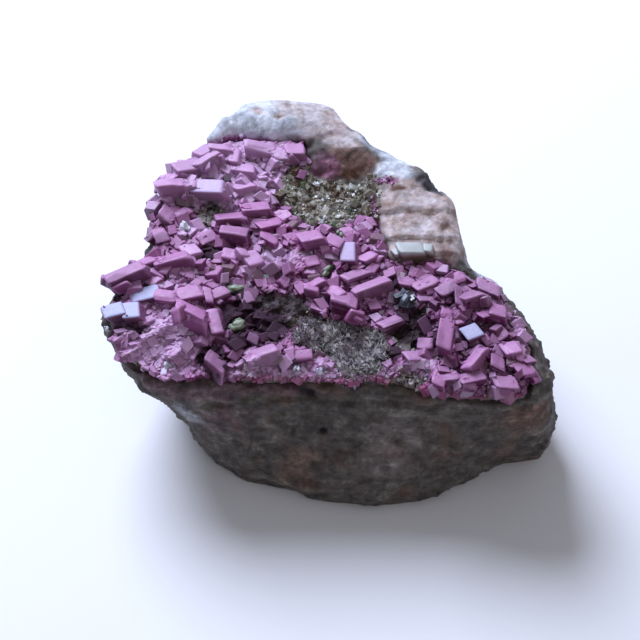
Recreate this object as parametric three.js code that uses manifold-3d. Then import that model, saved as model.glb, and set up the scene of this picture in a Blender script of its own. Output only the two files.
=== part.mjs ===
// A hand specimen of salrose: cobalt-bearing calcite, grown as a crust of magenta
// rhombohedral crystals over a broken lump of grey-brown and pale rock.
// Millimetres, +Z up. The origin is on the surface it rests on, under the middle of the lump.
// +X runs to the right along the crystal face, +Y runs away from its broken front edge.

import * as THREE from "three";
import { mergeVertices } from "three/addons/utils/BufferGeometryUtils.js";
import Module from "manifold-3d";

const wasm = await Module();
wasm.setup();

// Driving dimensions of the lump
const rimHeight = 19; // crystal face above the ground, at its front edge
const rimFrontY = -26;
const faceRise = 0.1; // the face climbs this much for each millimetre towards the back
const seatDepth = 1.7; // the crust is seated this far under the mean crystal face
const windowReach = 3; // the window is cut this far below the seat, right through the crust
const fitGap = 0.3; // clearance between pieces that touch
const prismDepth = 20; // an outline cut through the rock reaches this far up
const rimRound = 0.7; // rounding where the walls meet the face
const faceShare = 0.9; // the face counts a little less than the walls where they meet
const underside = -1.2; // the sampled rock reaches under the ground and is cut flat there

// The rock is meshed from samples on a grid of cells
const rockCell = 3;
const sampledLow = [-34.5, -31, -5];
const sampledSize = [69, 62, 36];

const middle = { x: 0.85, y: -0.7 }; // middle of the finished lump, in the outlines' own frame

// Outlines of the lump at rising heights, read clockwise
const outlines = [
  {
    z: 0,
    points: [
      [-17.5, -12.5], [-19.3, -4], [-19, 2], [-17.5, 8], [-14, 14.5], [-9, 19], [-3, 20.5],
      [4, 18.8], [10, 15], [15, 10.5], [18.5, 6], [21, 1.5], [24.5, -3.5], [27.8, -8.5],
      [29.8, -13], [30.2, -17.4], [28.6, -19.6], [24.8, -18.8], [21.8, -20.9], [19.4, -23.6],
      [16, -25.2], [12, -26.2], [8, -26.8], [2, -26.6], [-3, -25.2], [-8, -23.6],
      [-11.6, -22.4], [-14.8, -20.4], [-16.8, -16.8],
    ],
  },
  {
    z: 5,
    points: [
      [-19.3, -13], [-21.3, -9.5], [-22, -5], [-21, 0], [-20, 6], [-17.5, 12], [-13, 18],
      [-8, 21.8], [-2, 22.5], [4, 20.5], [9, 17], [13.5, 13], [17.5, 9.5], [20.5, 5],
      [22.5, 1], [26, -4], [29, -9], [30.6, -13.5], [30.6, -18], [28.6, -20.2],
      [24.6, -20.4], [21.8, -21.8], [19, -23.6], [14, -25], [9, -25.8], [3, -25.6],
      [-3, -24.6], [-9, -23.2], [-13.4, -21.6], [-17.2, -17.8],
    ],
  },
  {
    z: 12,
    points: [
      [-24.8, -14.8], [-26.2, -10], [-25.8, -6], [-23.5, -2], [-22.3, 3], [-21.5, 9],
      [-19, 14], [-15, 19], [-10, 23.3], [-5, 25], [0, 24.8], [5, 22], [9, 18.5],
      [12, 15], [15.5, 12], [18.8, 8], [20, 4], [21, 0], [24, -3.5], [27, -8],
      [28.9, -13], [29.8, -18], [28.9, -21.2], [24, -22.4], [18, -23], [12, -23],
      [4, -23], [-3, -22.6], [-10, -21.8], [-15, -21.2], [-18, -20.2], [-20.4, -18.4],
    ],
  },
  {
    z: 15.5,
    points: [
      [-26.2, -15.4], [-28, -10], [-27, -5.5], [-24.6, -2], [-22.9, 1.5], [-22.8, 8],
      [-20, 13], [-16, 19], [-11.5, 23.8], [-5, 25.4], [1, 25], [4.6, 20.8], [7.6, 16.8],
      [12, 13.6], [16.2, 10.5], [18.7, 6.5], [19.5, 1], [22.4, -3], [25.6, -7.6],
      [27.8, -13], [29, -18.5], [28.4, -21.8], [24, -22.8], [18, -23], [12, -21.6],
      [4, -21.4], [-4, -21.4], [-12, -21.8], [-17.6, -21.6], [-20.8, -20.8], [-23.2, -18.6],
    ],
  },
  {
    z: 20,
    points: [
      [-29.2, -10], [-28, -5], [-25.5, -1.9], [-23.4, -0.5], [-23.4, 4], [-22.7, 9.3],
      [-20, 12.9], [-17, 17], [-14.6, 21.4], [-10.4, 24.4], [-3, 25.2], [0, 24.2],
      [3.2, 20.8], [5.4, 18.4], [7.6, 15.3], [9.8, 14.3], [11.7, 13.7], [13.4, 12],
      [15, 10.6], [17.6, 7], [18.4, 3.7], [18.5, 0.3], [19.9, -2.1], [23.9, -4.4],
      [25.6, -9.5], [27.4, -15], [28.2, -20], [27.5, -22], [24, -22.6], [20, -23],
      [14, -22.8], [12, -20.3], [8, -19.9], [0, -20.3], [-8, -20.2], [-15, -21],
      [-20, -20.8], [-23, -19.9], [-25.3, -18], [-27.7, -14.5],
    ],
  },
];

// Where the crust of crystals covers the face, round a sandy bay of bare rock at its back
const crustOutline = [
  [-31, -10], [-29.5, -4.5], [-26, -0.5], [-24.8, 0.5], [-24.8, 5], [-24, 10], [-21, 14.4],
  [-18, 18], [-10, 18], [-2.5, 17.8], [-1.6, 14.2], [-4.6, 13.4], [-6.4, 9.6], [-4.6, 5.8],
  [-1.6, 4.2], [2.4, 3.2], [4.8, 5.2], [6.8, 4.4], [8.6, -1.8], [14, -3], [18, -3.8],
  [22.3, -6.2], [24.8, -10.6], [26.2, -16], [26.2, -19.5], [24.6, -24], [13, -24],
  [12.6, -22.5], [-12, -23.5], [-24, -24], [-30, -18],
];

// A window in the crust where grey-green rock shows through
const greenWindow = [
  [-3.6, -14.2], [-2.4, -11.4], [0.6, -11.2], [3.6, -12], [7, -13.2], [8, -16],
  [6.8, -18.6], [2.4, -19], [0.6, -16.8],
];

// The pale plateau stands over the crust behind and to the right, in two steps
const plateauHeight = 1.9;
const plateauSlope = 2; // the step's slope is this wide
const plateauOutline = [
  [-19, 17.6], [-3.4, 18], [2.2, 15.6], [5.6, 11.6], [7.4, 6], [8.6, 0.6], [13.5, -1],
  [17.5, -1.6], [26, -3], [34, 10], [20, 34], [-20, 34],
];
const upperStepHeight = 1.1;
const upperStepSlope = 3;
const upperStepOutline = [
  [-16, 20], [-2, 19.6], [4.4, 16.4], [7.4, 11.5], [7.4, 8], [12, 5.6], [16, 4.4], [18, 9],
  [8, 22], [0, 34], [-16, 34],
];

// Hills (positive) and hollows (negative) of the face: centre, radii and height
const faceRelief = [
  { x: -20, y: -12, rx: 6.5, ry: 4, rise: 1.2 },
  { x: 19, y: -13, rx: 6.5, ry: 6, rise: 1.0 },
  { x: -2, y: -1, rx: 7, ry: 4, rise: 0.7 },
  { x: -18, y: 11, rx: 5, ry: 4, rise: 0.9 },
  { x: -26, y: -5, rx: 3.5, ry: 2.5, rise: 0.6 },
  { x: 0, y: 8, rx: 5, ry: 4.5, rise: -1.5 },
  { x: 3, y: -15, rx: 5, ry: 3.4, rise: -1.5 },
  { x: -11.5, y: -11, rx: 2.6, ry: 5, rise: -0.9 },
  { x: -15, y: 5.5, rx: 2.6, ry: 2.6, rise: -0.8 },
  { x: 11.5, y: -12, rx: 3, ry: 3, rise: -0.8 },
];

// The face falls away to its left front corner, and again behind the crust to the back and right
const cornerFall = { slope: 0.15, beforeY: -13, leftOfX: -8, over: 8 };
const backFall = { slope: 0.16, beyondY: 17, beyondX: 13, lean: 0.6, share: 0.4 };

// Gentle unevenness of the face and of the walls: how high or deep, and how long its lumps are
const faceWaver = { height: 0.3, length: 3, level: 4.2 };
const wallWavers = [
  { depth: 0.5, length: 5, tall: 4 },
  { depth: 0.25, length: 2.4, tall: 1.8 },
];
const footRound = { height: 1.2, depth: 0.5 }; // the walls draw in just over the ground

// Loose ledges and bites of the broken walls: centre, radius and how far they stand out
const wallRelief = [
  { x: -20.5, y: -21, z: 15.2, r: 3.4, out: 0.8 },
  { x: -19, y: -19.5, z: 11.4, r: 3, out: -1.2 },
  { x: 26, y: -20, z: 7, r: 5, out: 0.7 },
  { x: 20, y: -22.5, z: 2, r: 4, out: -0.8 },
  { x: 4, y: -24.5, z: 6, r: 6, out: 0.6 },
  { x: -6, y: -23, z: 12, r: 4.5, out: -0.5 },
  { x: 13, y: -23.5, z: 12, r: 4, out: -0.6 },
];

// Flat breaks along the hidden lower edges at the back: a point on each and its outward direction
const breaks = [
  { at: [-15.5, 15, 5], facing: [-0.62, 0.62, -0.48] },
  { at: [-2, 20.5, 3], facing: [0.08, 0.86, -0.5] },
  { at: [11, 15.5, 6], facing: [0.68, 0.62, -0.39] },
  { at: [24.5, -1.5, 9], facing: [0.82, 0.56, -0.12] },
].map(({ at, facing }) => ({
  at: new THREE.Vector3(...at),
  facing: new THREE.Vector3(...facing).normalize(),
}));

// Numbers that repeat from run to run
function makeRandom(seed) {
  let state = seed;
  return () => {
    state = (state * 1664525 + 1013904223) >>> 0;
    return state / 4294967296;
  };
}

function hash(i, j, k) {
  let h = (i * 374761393 + j * 668265263 + k * 2147483647) | 0;
  h = Math.imul(h ^ (h >>> 13), 1274126177);
  return ((h ^ (h >>> 16)) >>> 0) / 4294967296;
}

const smooth = (t) => t * t * (3 - 2 * t);
const mix = (a, b, t) => a + (b - a) * t;
const clamp = (v, low, high) => Math.min(high, Math.max(low, v));

// Smooth noise from -1 to 1, with lumps about one unit across
function noise(x, y, z) {
  const [i, j, k] = [Math.floor(x), Math.floor(y), Math.floor(z)];
  const [u, v, w] = [smooth(x - i), smooth(y - j), smooth(z - k)];
  const row = (b, c) => mix(hash(i, b, c), hash(i + 1, b, c), u);
  const sheet = (c) => mix(row(j, c), row(j + 1, c), v);
  return 2 * mix(sheet(k), sheet(k + 1), w) - 1;
}

// Distance to a closed outline, negative inside
function outlineDistance(points, x, y) {
  let nearest = Infinity;
  let inside = false;
  points.forEach(([ax, ay], i) => {
    const [bx, by] = points[(i + 1) % points.length];
    const [ex, ey] = [bx - ax, by - ay];
    const t = clamp(((x - ax) * ex + (y - ay) * ey) / (ex * ex + ey * ey), 0, 1);
    nearest = Math.min(nearest, Math.hypot(x - ax - t * ex, y - ay - t * ey));
    if (ay > y !== by > y && x < ax + ((y - ay) / ey) * ex) inside = !inside;
  });
  return inside ? -nearest : nearest;
}

const faceHeight = (y) => rimHeight + faceRise * (y - rimFrontY);

// Height of the upper surface of the lump, crust included
function topHeight(x, y) {
  let z = faceHeight(y);
  for (const { x: cx, y: cy, rx, ry, rise } of faceRelief) {
    z += rise * Math.exp(-(((x - cx) / rx) ** 2) - ((y - cy) / ry) ** 2);
  }
  const stepAt = (outline, slope) => smooth(clamp(0.5 - outlineDistance(outline, x, y) / slope, 0, 1));
  z += plateauHeight * stepAt(plateauOutline, plateauSlope);
  z += upperStepHeight * stepAt(upperStepOutline, upperStepSlope);
  const leftness = smooth(clamp((cornerFall.leftOfX - x) / cornerFall.over, 0, 1));
  z -= cornerFall.slope * Math.max(0, cornerFall.beforeY - y) * leftness;
  const beyondSide = Math.max(0, x - backFall.beyondX + backFall.lean * y);
  z -= backFall.slope * (Math.max(0, y - backFall.beyondY) + backFall.share * beyondSide);
  return z + faceWaver.height * noise(x / faceWaver.length, y / faceWaver.length, faceWaver.level);
}

// Distance to the broken side walls, negative inside
function wallDistance(x, y, z) {
  let above = outlines.findIndex((o) => o.z > z);
  if (above < 0) above = outlines.length - 1;
  above = Math.max(above, 1);
  const [a, b] = [outlines[above - 1], outlines[above]];
  const t = clamp((z - a.z) / (b.z - a.z), 0, 1);
  let d = mix(outlineDistance(a.points, x, y), outlineDistance(b.points, x, y), t);
  for (const { x: cx, y: cy, z: cz, r, out } of wallRelief) {
    d -= out * Math.exp(-((x - cx) ** 2 + (y - cy) ** 2 + (z - cz) ** 2) / (r * r));
  }
  for (const { depth, length, tall } of wallWavers) {
    d += depth * noise(x / length, y / length, z / tall);
  }
  d += footRound.depth * clamp(1 - z / footRound.height, 0, 1) ** 2;
  const point = new THREE.Vector3(x, y, z);
  return Math.max(d, ...breaks.map(({ at, facing }) => facing.dot(point) - facing.dot(at)));
}

// Distance to the whole lump: rock and crust, without the crystals that stand on it
function lumpDistance(x, y, z) {
  const wall = wallDistance(x, y, z);
  const top = faceShare * (z - topHeight(x, y));
  const overlap = Math.max(rimRound - Math.abs(wall - top), 0) / rimRound;
  return Math.max(wall, top, underside - z) + (overlap * overlap * rimRound) / 4;
}

// Where four samples alternate like a checkerboard, two sheets of the surface would share an
// edge, so the outer samples there are filled in until none is left
function fillCheckerboards(values, count, at, steps) {
  const justInside = -0.01 * rockCell;
  let filled = true;
  while (filled) {
    filled = false;
    for (let i = 0; i < count[0]; i++) {
      for (let j = 0; j < count[1]; j++) {
        for (let k = 0; k < count[2]; k++) {
          for (let axis = 0; axis < 3; axis++) {
            const [u, v] = [steps[axis], steps[(axis + 1) % 3]];
            const ring = [[0, 0], [1, 0], [1, 1], [0, 1]].map(([p, q]) =>
              at(i + p * u[0] + q * v[0], j + p * u[1] + q * v[1], k + p * u[2] + q * v[2]),
            );
            const inside = ring.map((index) => values[index] < 0);
            if (inside[0] !== inside[2] || inside[1] !== inside[3] || inside[0] === inside[1]) continue;
            values[ring[inside[0] ? 1 : 0]] = justInside;
            filled = true;
          }
        }
      }
    }
  }
}

// A closed solid from any distance field, with one vertex in each cell that its surface crosses
function solidOfField(field) {
  const count = sampledSize.map((length) => Math.ceil(length / rockCell));
  const at = (i, j, k) => (i * (count[1] + 1) + j) * (count[2] + 1) + k;
  const place = (i, axis) => sampledLow[axis] + i * rockCell;
  const values = new Float64Array((count[0] + 1) * (count[1] + 1) * (count[2] + 1));
  for (let i = 0; i <= count[0]; i++) {
    for (let j = 0; j <= count[1]; j++) {
      for (let k = 0; k <= count[2]; k++) {
        values[at(i, j, k)] = field(place(i, 0), place(j, 1), place(k, 2));
      }
    }
  }
  const steps = [[1, 0, 0], [0, 1, 0], [0, 0, 1]];
  fillCheckerboards(values, count, at, steps);
  const corners = [0, 1, 2, 3, 4, 5, 6, 7].map((c) => [c & 1, (c >> 1) & 1, c >> 2]);
  const edges = corners.flatMap((a, i) =>
    corners.slice(i + 1).filter((b) => a.reduce((n, v, x) => n + (v !== b[x]), 0) === 1)
      .map((b) => [a, b]),
  );
  const vertexOf = new Map();
  const positions = [];
  for (let i = 0; i < count[0]; i++) {
    for (let j = 0; j < count[1]; j++) {
      for (let k = 0; k < count[2]; k++) {
        const sum = [0, 0, 0];
        let crossings = 0;
        for (const [a, b] of edges) {
          const va = values[at(i + a[0], j + a[1], k + a[2])];
          const vb = values[at(i + b[0], j + b[1], k + b[2])];
          if (va < 0 === vb < 0) continue;
          const t = va / (va - vb);
          crossings += 1;
          for (let x = 0; x < 3; x++) sum[x] += mix(a[x], b[x], t);
        }
        if (!crossings) continue;
        vertexOf.set(at(i, j, k), positions.length / 3);
        const cell = [i, j, k];
        for (let x = 0; x < 3; x++) positions.push(place(cell[x] + sum[x] / crossings, x));
      }
    }
  }
  const triangles = [];
  for (let i = 1; i < count[0]; i++) {
    for (let j = 1; j < count[1]; j++) {
      for (let k = 1; k < count[2]; k++) {
        steps.forEach((along, axis) => {
          const inside = values[at(i, j, k)] < 0;
          if (inside === values[at(i + along[0], j + along[1], k + along[2])] < 0) return;
          const [u, v] = [steps[(axis + 1) % 3], steps[(axis + 2) % 3]];
          const ring = [[0, 0], [1, 0], [1, 1], [0, 1]].map(([p, q]) =>
            vertexOf.get(at(i - p * u[0] - q * v[0], j - p * u[1] - q * v[1], k - p * u[2] - q * v[2])),
          );
          const [a, b, c, d] = inside ? ring : [...ring].reverse();
          triangles.push(a, b, c, a, c, d);
        });
      }
    }
  }
  return new wasm.Manifold(
    new wasm.Mesh({
      numProp: 3,
      vertProperties: new Float32Array(positions),
      triVerts: new Uint32Array(triangles),
    }),
  );
}

// A three.js geometry as a solid, and a solid as a three.js geometry
function solidOfGeometry(geometry) {
  const bare = geometry.clone();
  bare.deleteAttribute("normal");
  bare.deleteAttribute("uv");
  const merged = mergeVertices(bare, 1e-4);
  return new wasm.Manifold(
    new wasm.Mesh({
      numProp: 3,
      vertProperties: new Float32Array(merged.attributes.position.array),
      triVerts: new Uint32Array(merged.index.array),
    }),
  );
}

function geometryOfSolid(solid) {
  const mesh = solid.getMesh();
  const positions = new Float32Array(mesh.numVert * 3);
  for (let i = 0; i < mesh.numVert; i++) {
    positions.set(mesh.vertProperties.subarray(i * mesh.numProp, i * mesh.numProp + 3), i * 3);
  }
  return new THREE.BufferGeometry()
    .setAttribute("position", new THREE.BufferAttribute(positions, 3))
    .setIndex(new THREE.BufferAttribute(new Uint32Array(mesh.triVerts), 1));
}

// An upright prism of an outline, grown by a margin, that stands on the sloping seat of the crust
function seatedPrism(points, grow, raise) {
  const grown = points.map(([x, y], i) => {
    const [px, py] = points.at(i - 1);
    const [nx, ny] = points[(i + 1) % points.length];
    const before = new THREE.Vector2(x - px, y - py).normalize();
    const after = new THREE.Vector2(nx - x, ny - y).normalize();
    const out = new THREE.Vector2(-before.y - after.y, before.x + after.x);
    return new THREE.Vector2(x, y).addScaledVector(out, grow / Math.max(out.lengthSq() / 2, 0.6));
  });
  const geometry = new THREE.ExtrudeGeometry(new THREE.Shape(grown), {
    depth: prismDepth,
    bevelEnabled: false,
  });
  const shear = new THREE.Matrix4().set(
    1, 0, 0, 0,
    0, 1, 0, 0,
    0, faceRise, 1, faceHeight(0) - seatDepth + raise,
    0, 0, 0, 1,
  );
  return solidOfGeometry(geometry.applyMatrix4(shear));
}

// Calcite grows in rhombohedra: skewed blocks whose edges meet at 102 degrees
const rhombCosine = Math.cos(THREE.MathUtils.degToRad(101.9));
const rhombSine = Math.sin(THREE.MathUtils.degToRad(101.9));
const leanY = (rhombCosine - rhombCosine ** 2) / rhombSine;
const rhombEdges = [
  new THREE.Vector3(1, 0, 0),
  new THREE.Vector3(rhombCosine, rhombSine, 0),
  new THREE.Vector3(rhombCosine, leanY, Math.sqrt(1 - rhombCosine ** 2 - leanY ** 2)),
];

const proudShare = 0.5; // how much of a crystal's height stands above the crust
const rootDepth = 0.9; // the hidden foot of a crystal ends this far inside the crust
const largestRoll = 9; // degrees, the most that a large crystal leans to one side

function rhombSolid({ x, y, size, turn, tip, roll }) {
  const [length, width, height] = size;
  const degrees = THREE.MathUtils.degToRad;
  const proud = proudShare * height;
  const skew = new THREE.Matrix4().makeBasis(
    rhombEdges[0].clone().multiplyScalar(length),
    rhombEdges[1].clone().multiplyScalar(width),
    rhombEdges[2].clone().multiplyScalar(proud + rootDepth),
  );
  const place = new THREE.Matrix4()
    .makeRotationFromEuler(new THREE.Euler(degrees(tip), degrees(roll), degrees(turn), "ZXY"))
    .setPosition(x, y, topHeight(x, y) + (proud - rootDepth) / 2);
  return solidOfGeometry(new THREE.BoxGeometry(1, 1, 1).applyMatrix4(skew).applyMatrix4(place));
}

// The large crystals, from the back left to the front right, one in each row: x and y of its
// middle, the lengths of its three edges, its turn about the upright, and its tip, which is
// negative where the crystal leans back and shows its front face; millimetres and degrees
const largeCrystals = [
  [-16.2, 15.2, 2.8, 1.8, 2.2, 46, -6], [-13.6, 15.4, 3, 2.2, 2.8, 6, -20],
  [-11.5, 14.5, 1.3, 3, 2.4, -6, 0], [-8.4, 15.5, 4.2, 2, 2.8, 4, -24],
  [-5.8, 14.7, 2, 2, 2.2, 18, -8], [-3.6, 15.3, 2.8, 2.2, 2.6, -10, -18],
  [-18.1, 12.2, 4.2, 2.2, 2.6, 28, -4], [-15.4, 13, 3.6, 2.4, 3.4, 34, -24],
  [-12.9, 12.4, 1.8, 1.6, 2, -30, 0], [-10.6, 12, 3, 2, 2.8, -6, -20],
  [-7.9, 10.6, 1.8, 1.6, 2, 24, 6], [-20.7, 10, 2.2, 2, 2.2, 50, -8],
  [-19.9, 8.3, 4, 2.8, 4.4, -4, -22], [-14.9, 8.6, 5.2, 2.4, 4.6, -14, -8],
  [-10.2, 8.9, 2.6, 2, 2.6, 20, -20], [-7.6, 8, 2.2, 1.6, 2, -10, 4],
  [-8.8, 5.3, 4, 2.2, 3.2, 6, -22], [-5.3, 5, 1.7, 2, 2.4, 30, 2],
  [-11.9, 3.9, 4, 2.4, 3, -8, -26], [-11.4, 0.9, 3.6, 2.4, 3.4, -6, -20],
  [-6.8, 2.7, 3.2, 2.2, 3.2, 10, -16], [-7.1, 0.1, 2.6, 2.2, 2.8, -14, -20],
  [-4.1, 0.4, 1.9, 1.8, 2.2, 34, -4], [-1.4, -0.2, 3.6, 2.8, 3.8, 6, -18],
  [1.5, -0.6, 2.2, 2.4, 2.8, -30, -10], [-15.2, 1.3, 2.2, 1.8, 2.4, 30, 4],
  [-17.1, -1.2, 1.8, 2.4, 2.2, 14, 0], [-20.4, 4.2, 2.4, 2, 2.6, -18, -16],
  [-21, 1.4, 1.8, 2.2, 2.2, 10, 6], [-18.4, 5, 1.8, 1.5, 1.8, 28, 0],
  [-19.3, -3.2, 4.2, 2.2, 3.8, 10, -22], [-24.8, -5.9, 5.2, 2.2, 4.2, 22, -20],
  [-22.4, -3, 2.6, 1.6, 2.2, 26, -6], [-22.3, -8.2, 4, 2.2, 2.6, 6, 6],
  [-26.1, -11, 2.8, 2.2, 2.8, 8, 4], [-23.8, -11.3, 2.3, 2.6, 2.8, -4, 4],
  [-21.6, -5.9, 1.8, 1.6, 2, 30, 0], [-17.2, -4.8, 2, 1.8, 2.2, -12, -6],
  [-16.9, -8.2, 2.4, 2.2, 2.6, 20, 2], [-19.6, -9, 3, 1.8, 2.4, -8, -10],
  [-16.6, -12.4, 4.2, 3, 4.4, -12, -24], [-13.3, -12.2, 1.6, 3.6, 3, 14, 2],
  [-14.6, -8.4, 1, 3, 2.4, -2, 0], [-13.2, -7.9, 2.2, 2, 2.6, 30, -20],
  [-9.5, -8.3, 1.5, 2, 2.2, 16, -4], [-9.2, -2.9, 2.2, 2.2, 2.8, 18, -6],
  [-11.9, -2, 1.9, 1.7, 2, -20, 0], [-1.4, -3, 1.8, 1.6, 2, 20, 0],
  [-13.5, -18.2, 3, 2, 2.6, -26, -14], [-7.4, -17.4, 4.8, 2, 3, 12, -22],
  [-2.6, -16.8, 2.8, 1.6, 2, -10, -6], [3.6, -1.9, 2, 3.4, 3, -12, 4],
  [6, -2.2, 2.2, 1.8, 2.2, 30, -10], [4.4, -5.2, 4, 1.4, 2.6, 28, -6],
  [6.2, -7.4, 5.2, 1.8, 3.6, 20, -22], [2.9, -10, 3.6, 2.6, 4.2, -18, -24],
  [1.7, -8, 1.8, 2.6, 3.2, 24, 0], [-0.9, -6.8, 2.8, 2, 2.8, 14, -16],
  [1.9, -5.6, 1.6, 1.5, 2, -24, -6], [-0.4, -10, 2, 1.6, 2, -14, -4],
  [8.5, -12, 2.8, 1.6, 2.4, 22, -10], [10.7, -6.2, 1.9, 1.7, 2, -8, -10],
  [13.2, -6.7, 3, 2, 3, 16, -26], [13.2, -8.9, 2.6, 1, 1.6, 8, 0],
  [15.9, -7.6, 2.4, 2, 2.6, 34, 0], [17.2, -5.7, 2, 1.6, 2, 10, -6],
  [17.1, -9.2, 1.1, 3, 3, -6, 0], [18.9, -9.6, 2.8, 3, 3.8, 12, -22],
  [21.2, -7.3, 3, 1.8, 2.2, -22, -8], [21.9, -11.6, 2.6, 2.4, 3, -10, -10],
  [22.4, -14, 1.6, 1.5, 2, 20, 0], [15.5, -14.4, 2.2, 6.4, 3.8, -14, 2],
  [18.8, -14.4, 2.2, 2.4, 3, 16, 4], [19.2, -18.2, 4.2, 1.8, 3.6, 38, -22],
  [18.4, -20.8, 3.2, 1.8, 3, 16, -20], [23.4, -17, 1.9, 2.4, 2.8, 10, -12],
  [15.2, -20.8, 3.4, 2, 3.2, -2, -26], [24.7, -19.3, 2.2, 2.4, 2.2, 24, -4],
  [22.4, -21.2, 2.6, 1.6, 1.8, -10, -8], [11.2, -17.6, 2.6, 1.8, 2, 28, -2],
  [13, -15.6, 1.8, 1.6, 1.9, -20, -10], [20.3, -12, 1.6, 1.6, 2.2, 30, -6],
  [21.4, -18.8, 1.8, 2, 2.6, -14, -16], [3.2, 2.2, 2, 1.5, 1.8, 14, -6],
].map(([x, y, length, width, height, turn, tip], i) => {
  const roll = largestRoll * Math.sin(2.4 * i);
  return { x, y, size: [length, width, height], turn, tip, roll };
});

// Smaller crystals fill the crust between them, away from its edges and from one another
const smallCount = 50;
const smallSeed = 7;
const smallRegion = { x: [-29, 26], y: [-22, 17] };
const smallEdge = [1.3, 2.2];
const smallTip = 30; // degrees from the least to the most
const smallRoll = 24;
const clearance = { crustEdge: 1.2, wall: 1.6, window: 0.7, sizeShare: 0.3, neighbour: 0.6 };
const cubeShape = [1, 0.9, 1];
const cubeTurn = [0, 180];

// Bladed ones cover the left front corner, and lie more nearly one way
const bladedCorner = { x: -14.5, y: -11.5 };
const bladeShape = [1.7, 0.8, 1.1];
const bladeTurn = [28, 58];

function smallCrystals() {
  const random = makeRandom(smallSeed);
  const between = ([low, high]) => low + (high - low) * random();
  const found = [];
  while (found.length < smallCount) {
    const x = between(smallRegion.x);
    const y = between(smallRegion.y);
    const inCrust = outlineDistance(crustOutline, x, y) < -clearance.crustEdge;
    const onLump = outlineDistance(outlines.at(-1).points, x, y) < -clearance.wall;
    const inWindow = outlineDistance(greenWindow, x, y) < clearance.window;
    const crowded = [...largeCrystals, ...found].some(({ x: cx, y: cy, size }) => {
      const reach = clearance.sizeShare * (size[0] + size[1]) + clearance.neighbour;
      return Math.hypot(cx - x, cy - y) < reach;
    });
    if (!inCrust || !onLump || inWindow || crowded) continue;
    const bladed = x < bladedCorner.x && y < bladedCorner.y;
    const edge = between(smallEdge);
    found.push({
      x,
      y,
      size: (bladed ? bladeShape : cubeShape).map((share) => share * edge),
      turn: between(bladed ? bladeTurn : cubeTurn),
      tip: smallTip * (random() - 0.5),
      roll: smallRoll * (random() - 0.5),
    });
  }
  return found;
}

// Small round growths of malachite, and one dark cluster, each seated in the crust
const beads = [
  { name: "malachite_bead_1", x: -11.3, y: -6.9, radii: [1.5, 0.7, 0.8], turn: 4 },
  { name: "malachite_bead_2", x: -10.8, y: -12.3, radii: [1.3, 0.9, 0.9], turn: 32 },
  { name: "malachite_bead_3", x: 0.5, y: -4.4, radii: [1.2, 0.55, 0.7], turn: 58 },
  { name: "malachite_bead_4", x: 2.2, y: 1.5, radii: [0.6, 0.8, 0.7], turn: 0 },
];
const darkCluster = { name: "dark_ore_cluster", x: 10.4, y: -8.8, radii: [1.4, 1.7, 1.5], turn: 0 };
const beadLift = 0.45; // a bead's middle is this share of its height above the crust

function beadSolid({ x, y, radii, turn }, grow) {
  const place = new THREE.Matrix4()
    .makeRotationZ(THREE.MathUtils.degToRad(turn))
    .setPosition(x, y, topHeight(x, y) + beadLift * radii[2]);
  const ball = new THREE.IcosahedronGeometry(1, 1).scale(...radii.map((r) => r + grow));
  return solidOfGeometry(ball.applyMatrix4(place));
}

const largestBody = (solid) =>
  solid.decompose().reduce((best, body) => (body.volume() > best.volume() ? body : best));

// Pieces, each cut clear of its neighbours
const aboveGround = { across: 80, height: 40 };
const ground = solidOfGeometry(
  new THREE.BoxGeometry(aboveGround.across, aboveGround.across, aboveGround.height)
    .translate(0, 0, aboveGround.height / 2),
);
const lump = solidOfField(lumpDistance).intersect(ground);

// Space over the seat, without the window; a margin draws back the outside and grows the window
function crustSpace(margin) {
  const window = seatedPrism(greenWindow, margin, -windowReach);
  return seatedPrism(crustOutline, -margin, margin).subtract(window);
}

const rock = largestBody(lump.subtract(crustSpace(0)));
const crustRoom = crustSpace(fitGap);
let crystals = rhombSolid(largeCrystals[0]);
for (const crystal of [...largeCrystals.slice(1), ...smallCrystals()]) {
  crystals = crystals.add(rhombSolid(crystal));
}
let crust = lump.intersect(crustRoom).add(crystals.intersect(crustRoom));
for (const bead of [...beads, darkCluster]) {
  crust = crust.subtract(beadSolid(bead, fitGap));
}
crust = largestBody(crust);

// Finishes
const finish = (color, roughness) => new THREE.MeshStandardMaterial({ color, roughness, metalness: 0 });
const rockFinish = finish("#6b625b", 0.9);
const calciteFinish = finish("#a23a84", 0.4);
const malachiteFinish = finish("#6f7a5b", 0.6);
const oreFinish = finish("#2b2c36", 0.35);

const specimen = new THREE.Group();
specimen.position.set(-middle.x, -middle.y, 0);

function addPiece(name, solid, material) {
  const piece = new THREE.Mesh(geometryOfSolid(solid), material);
  piece.name = name;
  specimen.add(piece);
}

addPiece("host_rock", rock, rockFinish);
addPiece("calcite_crust", crust, calciteFinish);
for (const bead of beads) {
  addPiece(bead.name, beadSolid(bead, 0), malachiteFinish);
}
addPiece(darkCluster.name, beadSolid(darkCluster, 0), oreFinish);

export default specimen;
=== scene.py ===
# Salrose: magenta cobaltoan calcite on a broken lump of grey-brown and pale rock
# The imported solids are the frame; the fine surfaces are grown over them here
import itertools
import math
import random

import bmesh
import bpy
import numpy as np
from mathutils import Euler, Matrix, Vector


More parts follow.
